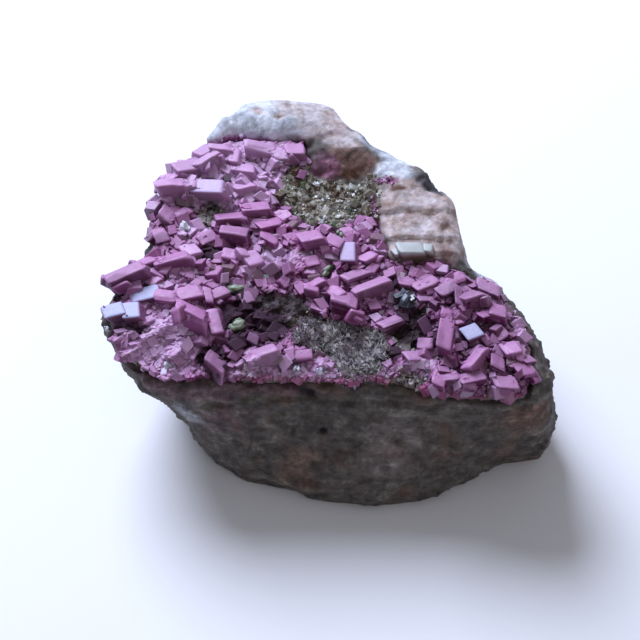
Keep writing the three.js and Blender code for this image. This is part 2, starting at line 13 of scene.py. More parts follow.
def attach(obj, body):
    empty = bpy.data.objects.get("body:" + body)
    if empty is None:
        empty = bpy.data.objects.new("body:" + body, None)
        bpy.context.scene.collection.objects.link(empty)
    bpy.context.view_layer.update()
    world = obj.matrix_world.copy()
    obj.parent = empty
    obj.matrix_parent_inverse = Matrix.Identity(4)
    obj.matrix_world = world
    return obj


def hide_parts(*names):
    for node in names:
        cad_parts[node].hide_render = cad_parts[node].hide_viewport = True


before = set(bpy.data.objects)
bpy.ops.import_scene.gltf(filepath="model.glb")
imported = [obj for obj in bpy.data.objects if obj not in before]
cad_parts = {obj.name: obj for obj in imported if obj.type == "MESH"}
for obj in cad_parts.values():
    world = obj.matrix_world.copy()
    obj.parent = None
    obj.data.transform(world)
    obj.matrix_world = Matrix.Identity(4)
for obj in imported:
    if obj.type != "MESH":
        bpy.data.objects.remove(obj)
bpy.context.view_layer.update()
body = "root"
mm = 0.001

# Placements given here are millimetres in the lump's own plan, whose middle lies here in the frame
planMiddle = np.array([0.85, -0.7, 0.0])


def toPlan(points):
    return np.asarray(points, float) / mm + planMiddle


def fromPlan(points):
    return (np.asarray(points, float) - planMiddle) * mm


def smoothStep(t):
    t = np.clip(t, 0, 1)
    return t * t * (3 - 2 * t)


def rising(values, start, width):  # from 0 at the start to 1 past the width
    return smoothStep((values - start) / width)


def falling(values, end, width):  # from 1 down to 0 at the end
    return smoothStep((end - values) / width)


# Numbers that repeat: a value from 0 to 1 for each whole cell, then noise and cells made of it
def latticeValue(cells, seed=0):
    cells = cells.astype(np.int64)
    mixed = cells[..., 0] * 374761393 + cells[..., 1] * 668265263 + cells[..., 2] * 2147483647
    mixed = (mixed + seed * 1013904223) & 0xFFFFFFFF
    mixed = ((mixed ^ (mixed >> 13)) * 1274126177) & 0xFFFFFFFF
    return (mixed ^ (mixed >> 16)) / 4294967296


def latticeSpot(cells, seed):
    return np.stack([latticeValue(cells, seed + axis) for axis in range(3)], axis=1)


def softNoise(points, seed=0):  # from -1 to 1, lumps about one unit across
    cell = np.floor(points).astype(np.int64)
    t = smoothStep(points - cell)
    total = np.zeros(len(points))
    for corner in itertools.product((0, 1), repeat=3):
        weight = np.prod(np.where(corner, t, 1 - t), axis=1)
        total += weight * latticeValue(cell + np.array(corner), seed)
    return 2 * total - 1


# Each layer is turned, so that the cells' grid doesn't show
layerTurn = np.array(Euler((0.6, 0.9, 0.4)).to_matrix())


def layeredNoise(points, size, layers=3, seed=0):
    total, share = np.zeros(len(points)), 1.0
    spot = points / size
    for layer in range(layers):
        spot = spot @ layerTurn.T
        total += share * softNoise(spot, seed + layer)
        spot, share = spot * 2.03, share * 0.5
    return total


def cellPattern(points, size, seed=0):  # distance to the border of each cell, its value and its tilt
    spot = points / size
    base = np.floor(spot).astype(np.int64)
    nearest, second = np.full(len(points), 9.0), np.full(len(points), 9.0)
    value, tilt = np.zeros(len(points)), np.zeros(len(points))
    for step in itertools.product((-1, 0, 1), repeat=3):
        cell = base + np.array(step)
        away = spot - (cell + latticeSpot(cell, seed))
        distance = np.linalg.norm(away, axis=1)
        closer = distance < nearest
        second = np.where(closer, nearest, np.minimum(second, distance))
        nearest = np.where(closer, distance, nearest)
        lean = latticeSpot(cell[closer], seed + 3)
        value[closer] = latticeValue(cell[closer], seed + 6)
        tilt[closer] = np.sum((2 * lean - 1) * away[closer], axis=1)
    return second - nearest, value, tilt


def outlineDistance(outline, points):  # in plan, negative inside
    corners = np.array(outline, float)
    x, y = points[:, 0], points[:, 1]
    nearest, inside = np.full(len(points), np.inf), np.zeros(len(points), bool)
    for (ax, ay), (bx, by) in zip(corners, np.roll(corners, -1, axis=0)):
        ex, ey = bx - ax, by - ay
        along = np.clip(((x - ax) * ex + (y - ay) * ey) / (ex * ex + ey * ey), 0, 1)
        nearest = np.minimum(nearest, np.hypot(x - ax - along * ex, y - ay - along * ey))
        if ey:
            inside ^= ((ay > y) != (by > y)) & (x < ax + (y - ay) / ey * ex)
    return np.where(inside, -nearest, nearest)


def patchShare(points, patches, soft=0.45):  # 1 in the middle of an ellipse, 0 outside it
    share = np.zeros(len(points))
    for x, y, rx, ry, turn, *most in patches:  # the most, where a patch is a faint one
        c, s = math.cos(math.radians(turn)), math.sin(math.radians(turn))
        dx, dy = points[:, 0] - x, points[:, 1] - y
        reach = np.hypot((c * dx + s * dy) / rx, (c * dy - s * dx) / ry)
        share = np.maximum(share, (most or [1])[0] * smoothStep((1 - reach) / soft))
    return share


def mound(points, x, y, rx, ry):  # a round hill in plan, 1 at its middle
    return np.exp(-(((points[:, 0] - x) / rx) ** 2) - ((points[:, 1] - y) / ry) ** 2)


def ballReach(points, middle, radius):  # 1 at the ball's surface
    return np.linalg.norm(points - middle, axis=1) / radius


face = {
    "rimHeight": 19.0, "rimFrontY": -26.0, "rise": 0.1, "uneven": 0.3,
    "corner": (-8, -13, 0.15), "back": (13, 17, 0.16),  # past this x and y it falls, and so fast
    "plateauHeight": 1.9, "plateauSlope": 2.0,
    "plateau": [
        (-19, 17.6), (-3.4, 18), (2.2, 15.6), (5.6, 11.6), (7.4, 6), (8.6, 0.6), (13.5, -1),
        (17.5, -1.6), (26, -3), (34, 10), (20, 34), (-20, 34),
    ],
    "upperHeight": 1.1, "upperSlope": 3.0,
    "upper": [
        (-16, 20), (-2, 19.6), (4.4, 16.4), (7.4, 11.5), (7.4, 8), (12, 5.6), (16, 4.4), (18, 9),
        (8, 22), (0, 34), (-16, 34),
    ],
    "relief": [  # x, y, two radii and the rise of each hill or hollow
        (-20, -12, 6.5, 4, 1.2), (19, -13, 6.5, 6, 1.0), (-2, -1, 7, 4, 0.7), (-18, 11, 5, 4, 0.9),
        (-26, -5, 3.5, 2.5, 0.6), (0, 8, 5, 4.5, -1.5), (3, -15, 5, 3.4, -1.5),
        (-11.5, -11, 2.6, 5, -0.9), (-15, 5.5, 2.6, 2.6, -0.8), (11.5, -12, 3, 3, -0.8),
    ],
}


def topHeight(points):
    x, y = points[:, 0], points[:, 1]
    z = face["rimHeight"] + face["rise"] * (y - face["rimFrontY"])
    for *spot, rise in face["relief"]:
        z += rise * mound(points, *spot)
    for step in ("plateau", "upper"):
        away = outlineDistance(face[step], points) / face[step + "Slope"]
        z += face[step + "Height"] * smoothStep(0.5 - away)
    cornerX, cornerY, cornerFall = face["corner"]
    z -= cornerFall * np.maximum(0, cornerY - y) * falling(x, cornerX, 8)
    sideX, backY, backFall = face["back"]
    z -= backFall * (np.maximum(0, y - backY) + 0.4 * np.maximum(0, x - sideX + 0.6 * y))
    return z + face["uneven"] * softNoise(np.stack([x / 3, y / 3, np.full(len(x), 4.2)], axis=1))


def heightAt(x, y):
    return topHeight(np.array([[x, y, 0.0]]))[0]


# Colours are sRGB hex values; Blender wants them linear
def linear(text):
    parts = [int(text[i:i + 2], 16) / 255 for i in (1, 3, 5)]
    return [p / 12.92 if p <= 0.04045 else ((p + 0.055) / 1.055) ** 2.4 for p in parts] + [1.0]


# Adds a node: a kind without Node in it is a shader's. An input goes by its name or number, and its
# value may be a node or a socket to link, or a hex colour; stops fill a colour ramp
def addNode(tree, kind, values=None, stops=(), **settings):
    node = tree.nodes.new(kind if "Node" in kind else "ShaderNode" + kind)
    for name, setting in settings.items():
        setattr(node, name, setting)
    for key, value in (values or {}).items():
        socket = node.inputs[key] if isinstance(key, int) else next(
            s for s in node.inputs if s.name == key and s.enabled)
        if isinstance(value, bpy.types.Node):
            value = next(s for s in value.outputs if s.enabled)
        if isinstance(value, bpy.types.NodeSocket):
            tree.links.new(value, socket)
        else:
            socket.default_value = linear(value) if str(value).startswith("#") else value
    for i, (position, colour) in enumerate(stops):
        ramp = node.color_ramp.elements
        element = ramp[i] if i < len(ramp) else ramp.new(1.0)
        element.position = position
        element.color = linear(colour)
    return node


def perMetre(millimetres):  # a pattern's scale, from the size of its lumps
    return 1 / (millimetres * mm)


def newMaterial(name):
    material = bpy.data.materials.new(name)
    material.use_nodes = True
    material.node_tree.nodes.clear()
    return material, material.node_tree


def finishMaterial(material, surface):
    shader = addNode(material.node_tree, "BsdfPrincipled", surface)
    addNode(material.node_tree, "OutputMaterial", {"Surface": shader})
    return material


def fineGrain(tree, place, size, detail, uneven, depth, strength):  # its size and depth in millimetres
    noise = addNode(tree, "TexNoise", {
        "Vector": place, "Scale": perMetre(size), "Detail": detail, "Roughness": uneven})
    return addNode(tree, "Bump", {"Height": noise, "Distance": depth * mm, "Strength": strength})


# Meshes and objects
def addObject(name, data):
    made = bpy.data.objects.new(name, data)
    bpy.context.scene.collection.objects.link(made)
    return made


def meshOf(bm, name):
    mesh = bpy.data.meshes.new(name)
    bm.to_mesh(mesh)
    bm.free()
    return mesh


def vectorsOf(collection, field):
    values = np.zeros(len(collection) * 3, np.float32)
    collection.foreach_get(field, values)
    return values.reshape(-1, 3).astype(float)


def planPoints(mesh):
    return toPlan(vectorsOf(mesh.vertices, "co"))


def setPlaces(mesh, points):
    mesh.vertices.foreach_set("co", np.asarray(points, np.float32).ravel())
    mesh.update()


def setShares(mesh, **shares):
    for name, values in shares.items():
        share = mesh.attributes.get(name) or mesh.attributes.new(name, "FLOAT", "POINT")
        share.data.foreach_set("value", values.astype(np.float32))


def plainMesh(work, name):  # what the modifiers of a working object make of it
    graph = bpy.context.evaluated_depsgraph_get()
    made = bpy.data.meshes.new_from_object(
        work.evaluated_get(graph), preserve_all_data_layers=True, depsgraph=graph)
    made.name = name
    bpy.data.objects.remove(work)
    return made


def remeshedCopy(node, voxel, smoothing):
    bm = bmesh.new()
    bm.from_mesh(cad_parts[node].data)
    bmesh.ops.remove_doubles(bm, verts=bm.verts, dist=1e-7)
    work = addObject(node + "_work", meshOf(bm, node + "_work"))
    remesh = work.modifiers.new("remesh", "REMESH")
    remesh.mode = "VOXEL"
    remesh.voxel_size = voxel * mm
    soften = work.modifiers.new("soften", "SMOOTH")
    soften.factor = 0.5
    soften.iterations = smoothing
    return plainMesh(work, node + "_fine")


def addPiece(name, mesh, replaced=None):
    piece = addObject(name, mesh)
    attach(piece, body)
    if replaced:
        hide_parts(replaced)
    print(name, len(mesh.polygons), "faces")
    return piece


# Camera, light and floor
studio = {
    "target": (-1.31, -5.3, 14.0), "distance": 230.0, "elevation": 50.0, "lens": 98.5, "sensor": 36.0,
    "floorWidth": 4000.0, "floorGap": 0.02, "floor": "#f1f1f3",
    "sky": "#eef1ff", "skyStrength": 0.3,
    "lamps": [  # from, size, watts, colour; millimetres
        {"name": "window", "at": (-190, 330, 380), "size": 330, "watts": 4.8, "colour": "#dce6ff"},
        {"name": "fill", "at": (260, -360, 300), "size": 300, "watts": 0.2, "colour": "#fff4ea"},
    ],
}


def makeStudio():
    scene, target = bpy.context.scene, Vector(studio["target"]) * mm
    lean = math.radians(studio["elevation"])
    back = Vector((0, -math.cos(lean), math.sin(lean)))
    view = bpy.data.cameras.new("camera")
    view.lens = studio["lens"]
    view.sensor_width = studio["sensor"]
    view.clip_start = 0.01
    camera = addObject("camera", view)
    camera.location = target + back * studio["distance"] * mm
    camera.rotation_euler = back.to_track_quat("Z", "Y").to_euler()
    scene.camera = camera
    for lamp in studio["lamps"]:
        data = bpy.data.lights.new(lamp["name"], "AREA")
        data.shape = "DISK"
        data.size = lamp["size"] * mm
        data.energy = lamp["watts"]
        data.color = linear(lamp["colour"])[:3]
        light = addObject(lamp["name"], data)
        light.location = Vector(lamp["at"]) * mm
        light.rotation_euler = (light.location - target).to_track_quat("Z", "Y").to_euler()
    world = bpy.data.worlds.new("soft sky")
    world.use_nodes = True
    sky = world.node_tree.nodes["Background"]
    sky.inputs["Color"].default_value = linear(studio["sky"])
    sky.inputs["Strength"].default_value = studio["skyStrength"]
    scene.world = world
    scene.view_settings.view_transform = "Standard"
    half = studio["floorWidth"] / 2 * mm
    board = bpy.data.meshes.new("floor")
    corners = [(-half, -half, 0), (half, -half, 0), (half, half, 0), (-half, half, 0)]
    board.from_pydata(corners, [], [(0, 1, 2, 3)])
    board.materials.append(finishMaterial(newMaterial("matt white board")[0], {
        "Base Color": studio["floor"], "Roughness": 0.8}))
    floor = addObject("floor", board)
    floor.location.z = -studio["floorGap"] * mm
    print("studio ready")


makeStudio()

# The rock: the solid's form at a fine grain, broken, layered and stained by zones
rock = {
    "voxel": 0.38, "smoothing": 9,
    "lumpSize": 4.5, "lumpDepth": 0.3,
    "chipSize": 2.6, "chipDepth": 0.6,
    "hackSize": 1.1, "hackDepth": 0.24,
    "grainSize": 0.8, "grainDepth": 0.12,
    "rimLayer": 3.3, "rimGroove": 0.35,  # a parting runs under the rim, this far down and this deep
    "ledgeLines": (-3.4, -1.9, 0.4, 5.0, 9.4, 12.5), "ledgeDepth": 0.45,  # across the tan stone
    "bulges": [(2.9, 13.3, 3.4, 2.0, 0.7), (16.6, 4.6, 1.6, 2.6, 0.4), (-16.5, 18.6, 3.2, 3.0, 1.3)],
    "raised": {"green": 0.75, "sand": 0.3},  # the druse and the sand fill their hollows
    "pits": [(-2.3, -20.5, 17.8, 0.65), (-1.7, -20.8, 16.9, 0.65), (-0.2, -22.7, 11.7, 0.5)],
    "pitDepth": 1.0, "fringeWidth": 1.2, "footHeight": 1.5,
    "upperDepth": 3.2,  # how far below the face the zones of the top reach
    "streakDepth": 0.18, "lineShare": 0.4,
    "backY": 4.0, "backFoot": 9.0,  # the pale stone runs down behind this y, to this height
    # Pairs: where something starts or ends, and the width over which it fades
    "bayBackY": (8.5, 1.5), "bayBackX": (-3.5, 2.0), "bayRightX": (5.6, 1.0), "bayRightY": 3.0,
    "lineTop": (0.4, 0.6), "lineFoot": (3.4, 1.4), "lineX": (2.0, 6.0), "lineY": (-12.0, 3.0),
    "frontY": (-12.0, 4.0), "steep": (0.75, 0.4),
    "wallPatches": [  # a finish, its middle, how far it reaches and how strong it is
        ("brown", (26.4, -22.2, 14.8), 4.4, 0.6), ("brown", (-3.0, -24.3, 5.9), 3.6, 0.45),
        ("pale", (-17.2, -19.4, 12.6), 3.2, 0.45), ("maroon", (-12.0, -20.6, 12.6), 3.4, 0.25),
        ("tan", (9.0, -23.0, 10.0), 5.0, 0.14),
    ],
}
zoneOutlines = {
    "pale": [
        (-20, 17), (-14, 17.6), (-8, 17.8), (-3, 17.9), (0.5, 18.6), (4, 17.4), (6.4, 14.6), (8, 13.2),
        (11, 11.4), (13, 13), (9, 19), (4, 24), (0, 30), (-12, 30), (-22, 22),
    ],
    "tan": [
        (6.6, 8.8), (9, 9.2), (12, 8.6), (17, 8), (20, 4), (19.4, 0), (17, -2.6), (12, -2.8),
        (8.6, -1.6), (7.2, 3),
    ],
    "sand": [
        (-6.4, 14.2), (-3.4, 15.2), (-1.8, 12.6), (1.2, 11.2), (4.2, 10.4), (7.4, 10.2), (7.6, 7.5),
        (7, 4.2), (4.8, 4.4), (2.4, 2.8), (-1.6, 3.8), (-4.8, 5.4), (-7, 9.6),
    ],
    "green": [
        (-4, -14.6), (-2.6, -10.8), (0.6, -10.6), (3.8, -11.4), (7.6, -12.8), (8.6, -16),
        (7.2, -19.2), (2.2, -19.6), (0, -16.8),
    ],
}
zonePatches = {  # x, y, two radii, a turn, and how strong it is where that is less than 1
    "pale": [
        (9.2, 10.8, 3.4, 2.4, -24), (17.4, 5.6, 1.5, 3, 10), (11.2, -0.5, 2.4, 1.5, -4),
        (22.5, -3.8, 4, 1.6, -35), (12.6, 5.8, 4, 0.7, -4), (-17.6, 16.6, 4, 2, 35),
    ],
    "tan": [
        (2.6, 19.8, 4.6, 3.6, -30, 0.85), (-4.6, 22.4, 2.6, 2.2, 0, 0.7),
        (-0.6, 20.8, 4.4, 4.2, -20, 0.75), (2.4, 16.2, 3.4, 1.2, -22),
        (-8.9, 21.4, 0.9, 0.8, 0), (-6.2, 20.6, 0.8, 0.8, 0),
    ],
    "brown": [
        # The first brown patch lies on the cliff below the pale cap: partly the stone's colour, partly
        # painted shade
        (3.8, 13.2, 4.4, 2.2, -24), (11, 3.6, 1.4, 0.8, 30, 0.6), (15.4, 2.4, 1.3, 1.1, -20, 0.6),
        (9.8, 7.6, 1.6, 0.7, 0), (15.6, -1, 1.6, 0.9, 0, 0.7), (-6.3, 20.6, 0.5, 0.5, 0),
    ],
    # The first maroon patch lies on the same cliff: partly the stone's colour, partly painted shade
    "maroon": [(0.2, 13.4, 2.8, 2.2, -24), (13.6, -2.4, 4, 0.9, 0), (-4, 17.6, 9, 0.8, 0, 0.3)],
    "pink": [
        (6.9, 4.5, 0.45, 3.4, 8), (8, -1.5, 0.7, 2.4, 6), (8.6, 9, 1.8, 0.6, -10),
        (-11, 17.6, 8.5, 0.9, -2),
    ],
    # Painted shade: dark lines along the steps and under the pale block
    "dark": [
        (14, 8.6, 2.6, 1.3, -25), (12, -3.6, 5, 0.7, 0), (6.6, 16.6, 3.2, 1.7, -60, 0.7),
        (3.8, 18.6, 0.9, 1, 0, 0.8), (-1, 19.4, 4.6, 0.6, -6, 0.3), (-11.6, 20.6, 3, 0.5, 20, 0.25),
    ],
}


def rockZones(points):
    x, y, z = points.T
    top = topHeight(points)
    wander = 0.5 * layeredNoise(points, 2.2, 3, 11)
    wandered = points + 0.8 * wander[:, None] * [1, -1, 1]
    upper = smoothStep((z - top + rock["upperDepth"] + 0.8 * wander) / 1.2)
    zones = {}

    def spread(name, share):
        zones[name] = np.maximum(zones.get(name, 0), share)

    for name, outline in zoneOutlines.items():
        spread(name, upper * smoothStep(0.5 - (outlineDistance(outline, points) + wander) / 1.1))
    for name, patches in zonePatches.items():
        spread(name, upper * patchShare(wandered, patches))
    # Small pink crystals straggle over the borders of the two bare patches, but not beyond the bay
    away = np.min([np.abs(outlineDistance(zoneOutlines[name], points))
                   for name in ("sand", "green")], axis=0)
    beyond = rising(y, *rock["bayBackY"]) * rising(x, *rock["bayBackX"])
    beyond = np.maximum(beyond, rising(x, *rock["bayRightX"]) * (y > rock["bayRightY"]))
    spread("fringe", upper * (1 - beyond) * smoothStep((rock["fringeWidth"] - away + wander) / 1.4))
    # Painted shade: the pits are painted near black
    for *middle, radius in rock["pits"]:
        spread("paintedPitShade", falling(ballReach(points, middle, radius), 1.5, 0.7))
    # Below the rim: a few stains, and a reddish line at the left
    for name, middle, reach, most in rock["wallPatches"]:
        away = ballReach(wandered + 2 * wander[:, None], middle, reach)
        spread(name, most * (1 - upper) * falling(away, 1.2, 0.8))
    drop = top - z + 0.6 * wander
    underRim = rising(drop, *rock["lineTop"]) * falling(drop, *rock["lineFoot"])
    underRim *= falling(y, *rock["lineY"]) * falling(x, *rock["lineX"])
    spread("maroon", rock["lineShare"] * underRim)
    # The pale stone runs down the back of the lump, and thins out towards its foot
    behind = smoothStep((y - rock["backY"] + 0.5 * x * (x > 0)) / 8)
    backWall = behind * smoothStep((z - rock["backFoot"] + 5 * wander) / 5) * (1 - upper)
    spread("pale", backWall * smoothStep(1.2 + wander))
    spread("tan", backWall * smoothStep(layeredNoise(points, 6, 2, 31) * 1.5))
    return zones


def rockRelief(points, normals, zones):
    y, up = points[:, 1], normals[:, 2]
    drop = topHeight(points) - points[:, 2]
    steep = falling(up, *rock["steep"])
    worn = rising(up, -0.1, 0.5)  # the pale stone is worn smooth on top
    rough = np.clip(1 - worn * (0.7 * zones["pale"] + 0.3 * zones["tan"]), 0.25, 1)
    out = rock["lumpDepth"] * layeredNoise(points, rock["lumpSize"], 2, 3)
    for kind, seed in (("chip", 41), ("hack", 61)):
        border, value, tilt = cellPattern(points, rock[kind + "Size"], seed)
        slant = 0.5 * (value - 0.5) + 1.1 * tilt
        out += rough * rock[kind + "Depth"] * slant * rising(border, 0, 0.25)
    out += rough * rock["grainDepth"] * layeredNoise(points, rock["grainSize"], 2, 5)
    # Layers under the front rim, and the parting below them
    front = falling(y, *rock["frontY"]) * steep
    bent = drop + 0.8 * softNoise(points / [6, 6, 3], 17)
    streaks = softNoise(points / [3.5, 3.5, 0.45], 19)
    out += rock["streakDepth"] * front * streaks * falling(drop, 5, 2)
    out -= rock["rimGroove"] * front * np.exp(-((bent - rock["rimLayer"]) / 0.3) ** 2)
    # Ledges step across the tan stone: each is high at its front edge
    lines = np.array(rock["ledgeLines"])
    spot = y + 0.7 * softNoise(points / [5, 4, 4], 23)
    which = np.clip(np.searchsorted(lines, spot) - 1, 0, len(lines) - 2)
    along = np.clip((spot - lines[which]) / (lines[which + 1] - lines[which]), 0, 1)
    out += rock["ledgeDepth"] * zones["tan"] * (1 - steep) * (0.5 - along)
    onTop = falling(drop, 3, 1.2)
    for *place, rise in rock["bulges"]:
        out += rise * onTop * mound(points, *place)
    for name, rise in rock["raised"].items():
        out += rise * onTop * zones[name]
    for *middle, radius in rock["pits"]:
        out -= rock["pitDepth"] * np.exp(-ballReach(points, middle, radius) ** 2)
    return out


# The colours of each zone, and the tone that runs through them; later ones lie over earlier ones
# The walls' dark grey-brown is partly the stone's own colour and partly painted shade
wallStops = [(0.34, "#211c1b"), (0.45, "#413a36"), (0.55, "#5b544e"), (0.68, "#8b847c")]
zoneStops = {
    "stain": ("wall", [(0.3, "#352823"), (0.6, "#665146")]),
    "pale": ("mottle", [(0.28, "#858a93"), (0.4, "#abb0ba"), (0.54, "#c9ccd4"), (0.72, "#d3cfd2")]),
    "tan": ("wall", [(0.34, "#8a6f62"), (0.44, "#ae978f"), (0.53, "#c1b3b3"), (0.66, "#cfc9d0")]),
    "sand": ("sand", [(0.1, "#3b2f25"), (0.35, "#5f5444"), (0.65, "#7c7564"), (0.9, "#a5a195")]),
    "green": ("druse", [(0.1, "#231e23"), (0.35, "#5c5459"), (0.65, "#8a8084"), (0.9, "#b4adab")]),
    "brown": ("mottle", [(0.3, "#2c1a16"), (0.5, "#664538"), (0.7, "#a07a68")]),
    "maroon": ("mottle", [(0.3, "#241019"), (0.5, "#5f3046"), (0.7, "#a06d84")]),
    "pink": ("mottle", [(0.3, "#471434"), (0.5, "#823467"), (0.7, "#b67aa4")]),
    # dark: painted shade along the steps and under the pale block
    "dark": ("mottle", [(0.3, "#211e24"), (0.7, "#5d5760")]),
    # paintedPitShade: painted shade, near black, in the pits
    "paintedPitShade": ("mottle", [(0.3, "#080606"), (0.7, "#151110")]),
}


def matrixRock():  # weathered dolomite and quartz, broken: matt, mottled and granular to the eye
    material, tree = newMaterial("broken dolomite matrix")
    place = addNode(tree, "TexCoord").outputs["Object"]
    broad = addNode(tree, "TexNoise", {"Vector": place, "Scale": perMetre(5), "Detail": 4.0})
    mottle = addNode(tree, "TexNoise", {
        "Vector": place, "Scale": perMetre(2.2), "Detail": 8.0, "Roughness": 0.72})
    stretched = addNode(tree, "Mapping", {"Vector": place, "Scale": (0.35, 1.6, 1.6)})
    layers = addNode(tree, "TexNoise", {
        "Vector": stretched, "Scale": perMetre(1.6), "Detail": 5.0, "Roughness": 0.6})
    wall = addNode(tree, "Mix", {"Factor": 0.35, "A": mottle, "B": layers})
    grains = addNode(tree, "TexVoronoi", {"Vector": place, "Scale": perMetre(0.55)})
    sand, druse, speck = addNode(tree, "SeparateColor", {"Color": grains.outputs["Color"]}).outputs
    tones = {"mottle": mottle, "wall": wall, "sand": sand, "druse": druse}
    colour = addNode(tree, "ValToRGB", {"Fac": wall}, stops=wallStops)
    for name, (tone, stops) in zoneStops.items():
        if name == "stain":
            share = addNode(tree, "MapRange", {"Value": broad, "From Min": 0.54, "From Max": 0.68})
        else:
            share = addNode(tree, "Attribute", attribute_name=name).outputs["Fac"]
        over = addNode(tree, "ValToRGB", {"Fac": tones[tone]}, stops=stops)
        colour = addNode(tree, "Mix", {"Factor": share, "A": colour, "B": over}, data_type="RGBA")
    speckle = addNode(tree, "MapRange", {"Value": speck, "To Min": 0.78, "To Max": 1.2})
    colour = addNode(tree, "VectorMath", {"Vector": colour, "Scale": speckle}, operation="SCALE")
    return finishMaterial(material, {
        "Base Color": colour, "Roughness": 0.72,
        "Normal": fineGrain(tree, place, 0.35, 3.0, 0.7, 0.12, 0.7)})


def makeRock():
    mesh = remeshedCopy("host_rock", rock["voxel"], rock["smoothing"])
    points, normals = planPoints(mesh), vectorsOf(mesh.vertex_normals, "vector")
    zones = rockZones(points)
    standing = smoothStep(points[:, 2] / rock["footHeight"])  # the foot stays flat on the ground
    moved = points + normals * (standing * rockRelief(points, normals, zones))[:, None]
    moved[:, 2] = np.maximum(moved[:, 2], 0)
    setPlaces(mesh, fromPlan(moved))
    setShares(mesh, **zones)
    mesh.materials.append(matrixRock())
    mesh.shade_smooth()
    return addPiece("rock_body", mesh, "host_rock")


rockMesh = makeRock().data

# The crust between the crystals: sugary calcite, thin and bare over some patches of rock
crust = {
    "voxel": 0.32, "smoothing": 2, "inset": 0.14,
    "sugarSize": 0.8, "sugarDepth": 0.3,
    "grainSize": 0.4, "grainDepth": 0.07,
    "edgeShown": 0.8,  # at the broken rim only this much of its thickness is pink
    "edgeWander": 0.5, "cleanAbove": 0.9, "backEdge": 16.2,
    "cleanReach": (2.1, 1.9), "cleanDepth": 0.5,
    # Pairs: where something ends, and the width over which it fades
    "bladedX": (-14.5, 3.0), "bladedY": (-11.0, 3.0), "rimX": (13.5, 2.0), "rimY": (-17.6, 1.2),
    "lipY": (-14.0, 3.0),
}
crustPatches = {  # as the rock's
    "matrix": [
        (-14.9, 5.2, 2.8, 2.6, 0), (10.4, -14.2, 2.6, 3.6, 20), (10.6, -20.4, 3, 1.4, -8),
        (-5, -9.2, 5.6, 2.2, -10), (-2.6, -11.8, 4, 1.8, 0), (12, -10.6, 2, 1.4, 20),
        (-23.2, -17.9, 1.6, 0.7, -32), (-17, -0.5, 1.2, 1, 0), (-20.9, 2, 0.9, 2, 0),
    ],
    # Painted shade: near-black patches where shade falls in hollows and under crystals
    "gloom": [
        (-11.2, -11.8, 3, 6, 8), (-13.6, -17.6, 2.4, 3, 30), (-7.2, -12.4, 4, 2.6, 0),
        (10.8, -13.2, 2.8, 3.6, 10), (8.5, -16.7, 1.4, 1.8, 0), (14.3, -15.9, 1.1, 3, 10),
        (16.7, -8.3, 1.4, 2, 0), (-24.4, -13.3, 3.4, 0.9, -8), (-26.8, -7.4, 2.6, 0.8, 14),
        (-20.7, 0.3, 1.8, 1.3, 0), (-14.5, -1.3, 1.5, 1.5, 0), (9.2, -6, 1.3, 1.6, 0),
        (-13.4, 9.8, 1.4, 1, 0), (11.6, -10.8, 2, 1.4, 0), (-9.8, -9.8, 3.6, 3.4, 0),
        (-5.4, -9.4, 5.4, 2.6, -6, 0.9), (-6.6, -14.6, 3, 1.4, 10, 0.8), (17, -13, 9, 8, 0, 0.4),
    ],
    # Less painted shade low down in the bladed corner
    "lowShadeEased": [(-20.5, -15.5, 7.4, 5, -20), (-23.5, -12, 3, 2, -20, 0.5)],
    "milk": [
        (-17.3, -1.2, 2, 2, 0), (-17, 2, 2.4, 1.8, 20), (25.6, -13, 2.4, 7, 12, 0.7),
        (-20.5, -15.5, 7.4, 5, -20, 0.7), (-19.5, -14.6, 5.4, 3.6, -20),
        (-2, -18.8, 13, 2, 0, 0.8), (-7, -2.6, 5, 2.4, 0, 0.8), (-18.5, 15.4, 3.4, 2, 30),
        (12, -19, 3, 1.4, 0), (-12.5, 12.2, 12.5, 8, 10, 0.95), (-21, -8, 8, 6, 20, 0.3),
    ],
}
polishedFaces = {  # the place of each, and how strongly its flat top is made smooth and painted with a pale blue reflection
    (-22.3, -8.2): 1.0, (-26.1, -11): 1.0, (-23.8, -11.3): 1.0, (18.8, -14.4): 0.9, (3.6, -1.9): 0.5,
    (-14.9, 8.6): 0.45,
}


def crustShares(points):
    wander = 0.5 * layeredNoise(points, 1.8, 3, 71)
    moved = points + 0.9 * wander[:, None] * [1, -1, 1]
    shares = {name: patchShare(moved, patches) for name, patches in crustPatches.items()}
    drop = topHeight(points) - points[:, 2]
    shares["buried"] = smoothStep((drop - crust["edgeShown"] - crust["edgeWander"] * wander) / 0.4)
    # Painted shade: low down between the crystals the colour is painted dim; what stands proud keeps
    # its full colour
    shares["deep"] = rising(drop, -1.3, 1.7) * (1 - 0.5 * shares["milk"])
    shares["deep"] *= 1 - 0.8 * shares.pop("lowShadeEased")
    # A crimson line where the crust meets the broken wall
    shares["lip"] = rising(drop, 0.3, 0.4) * falling(points[:, 1], *crust["lipY"])
    return shares


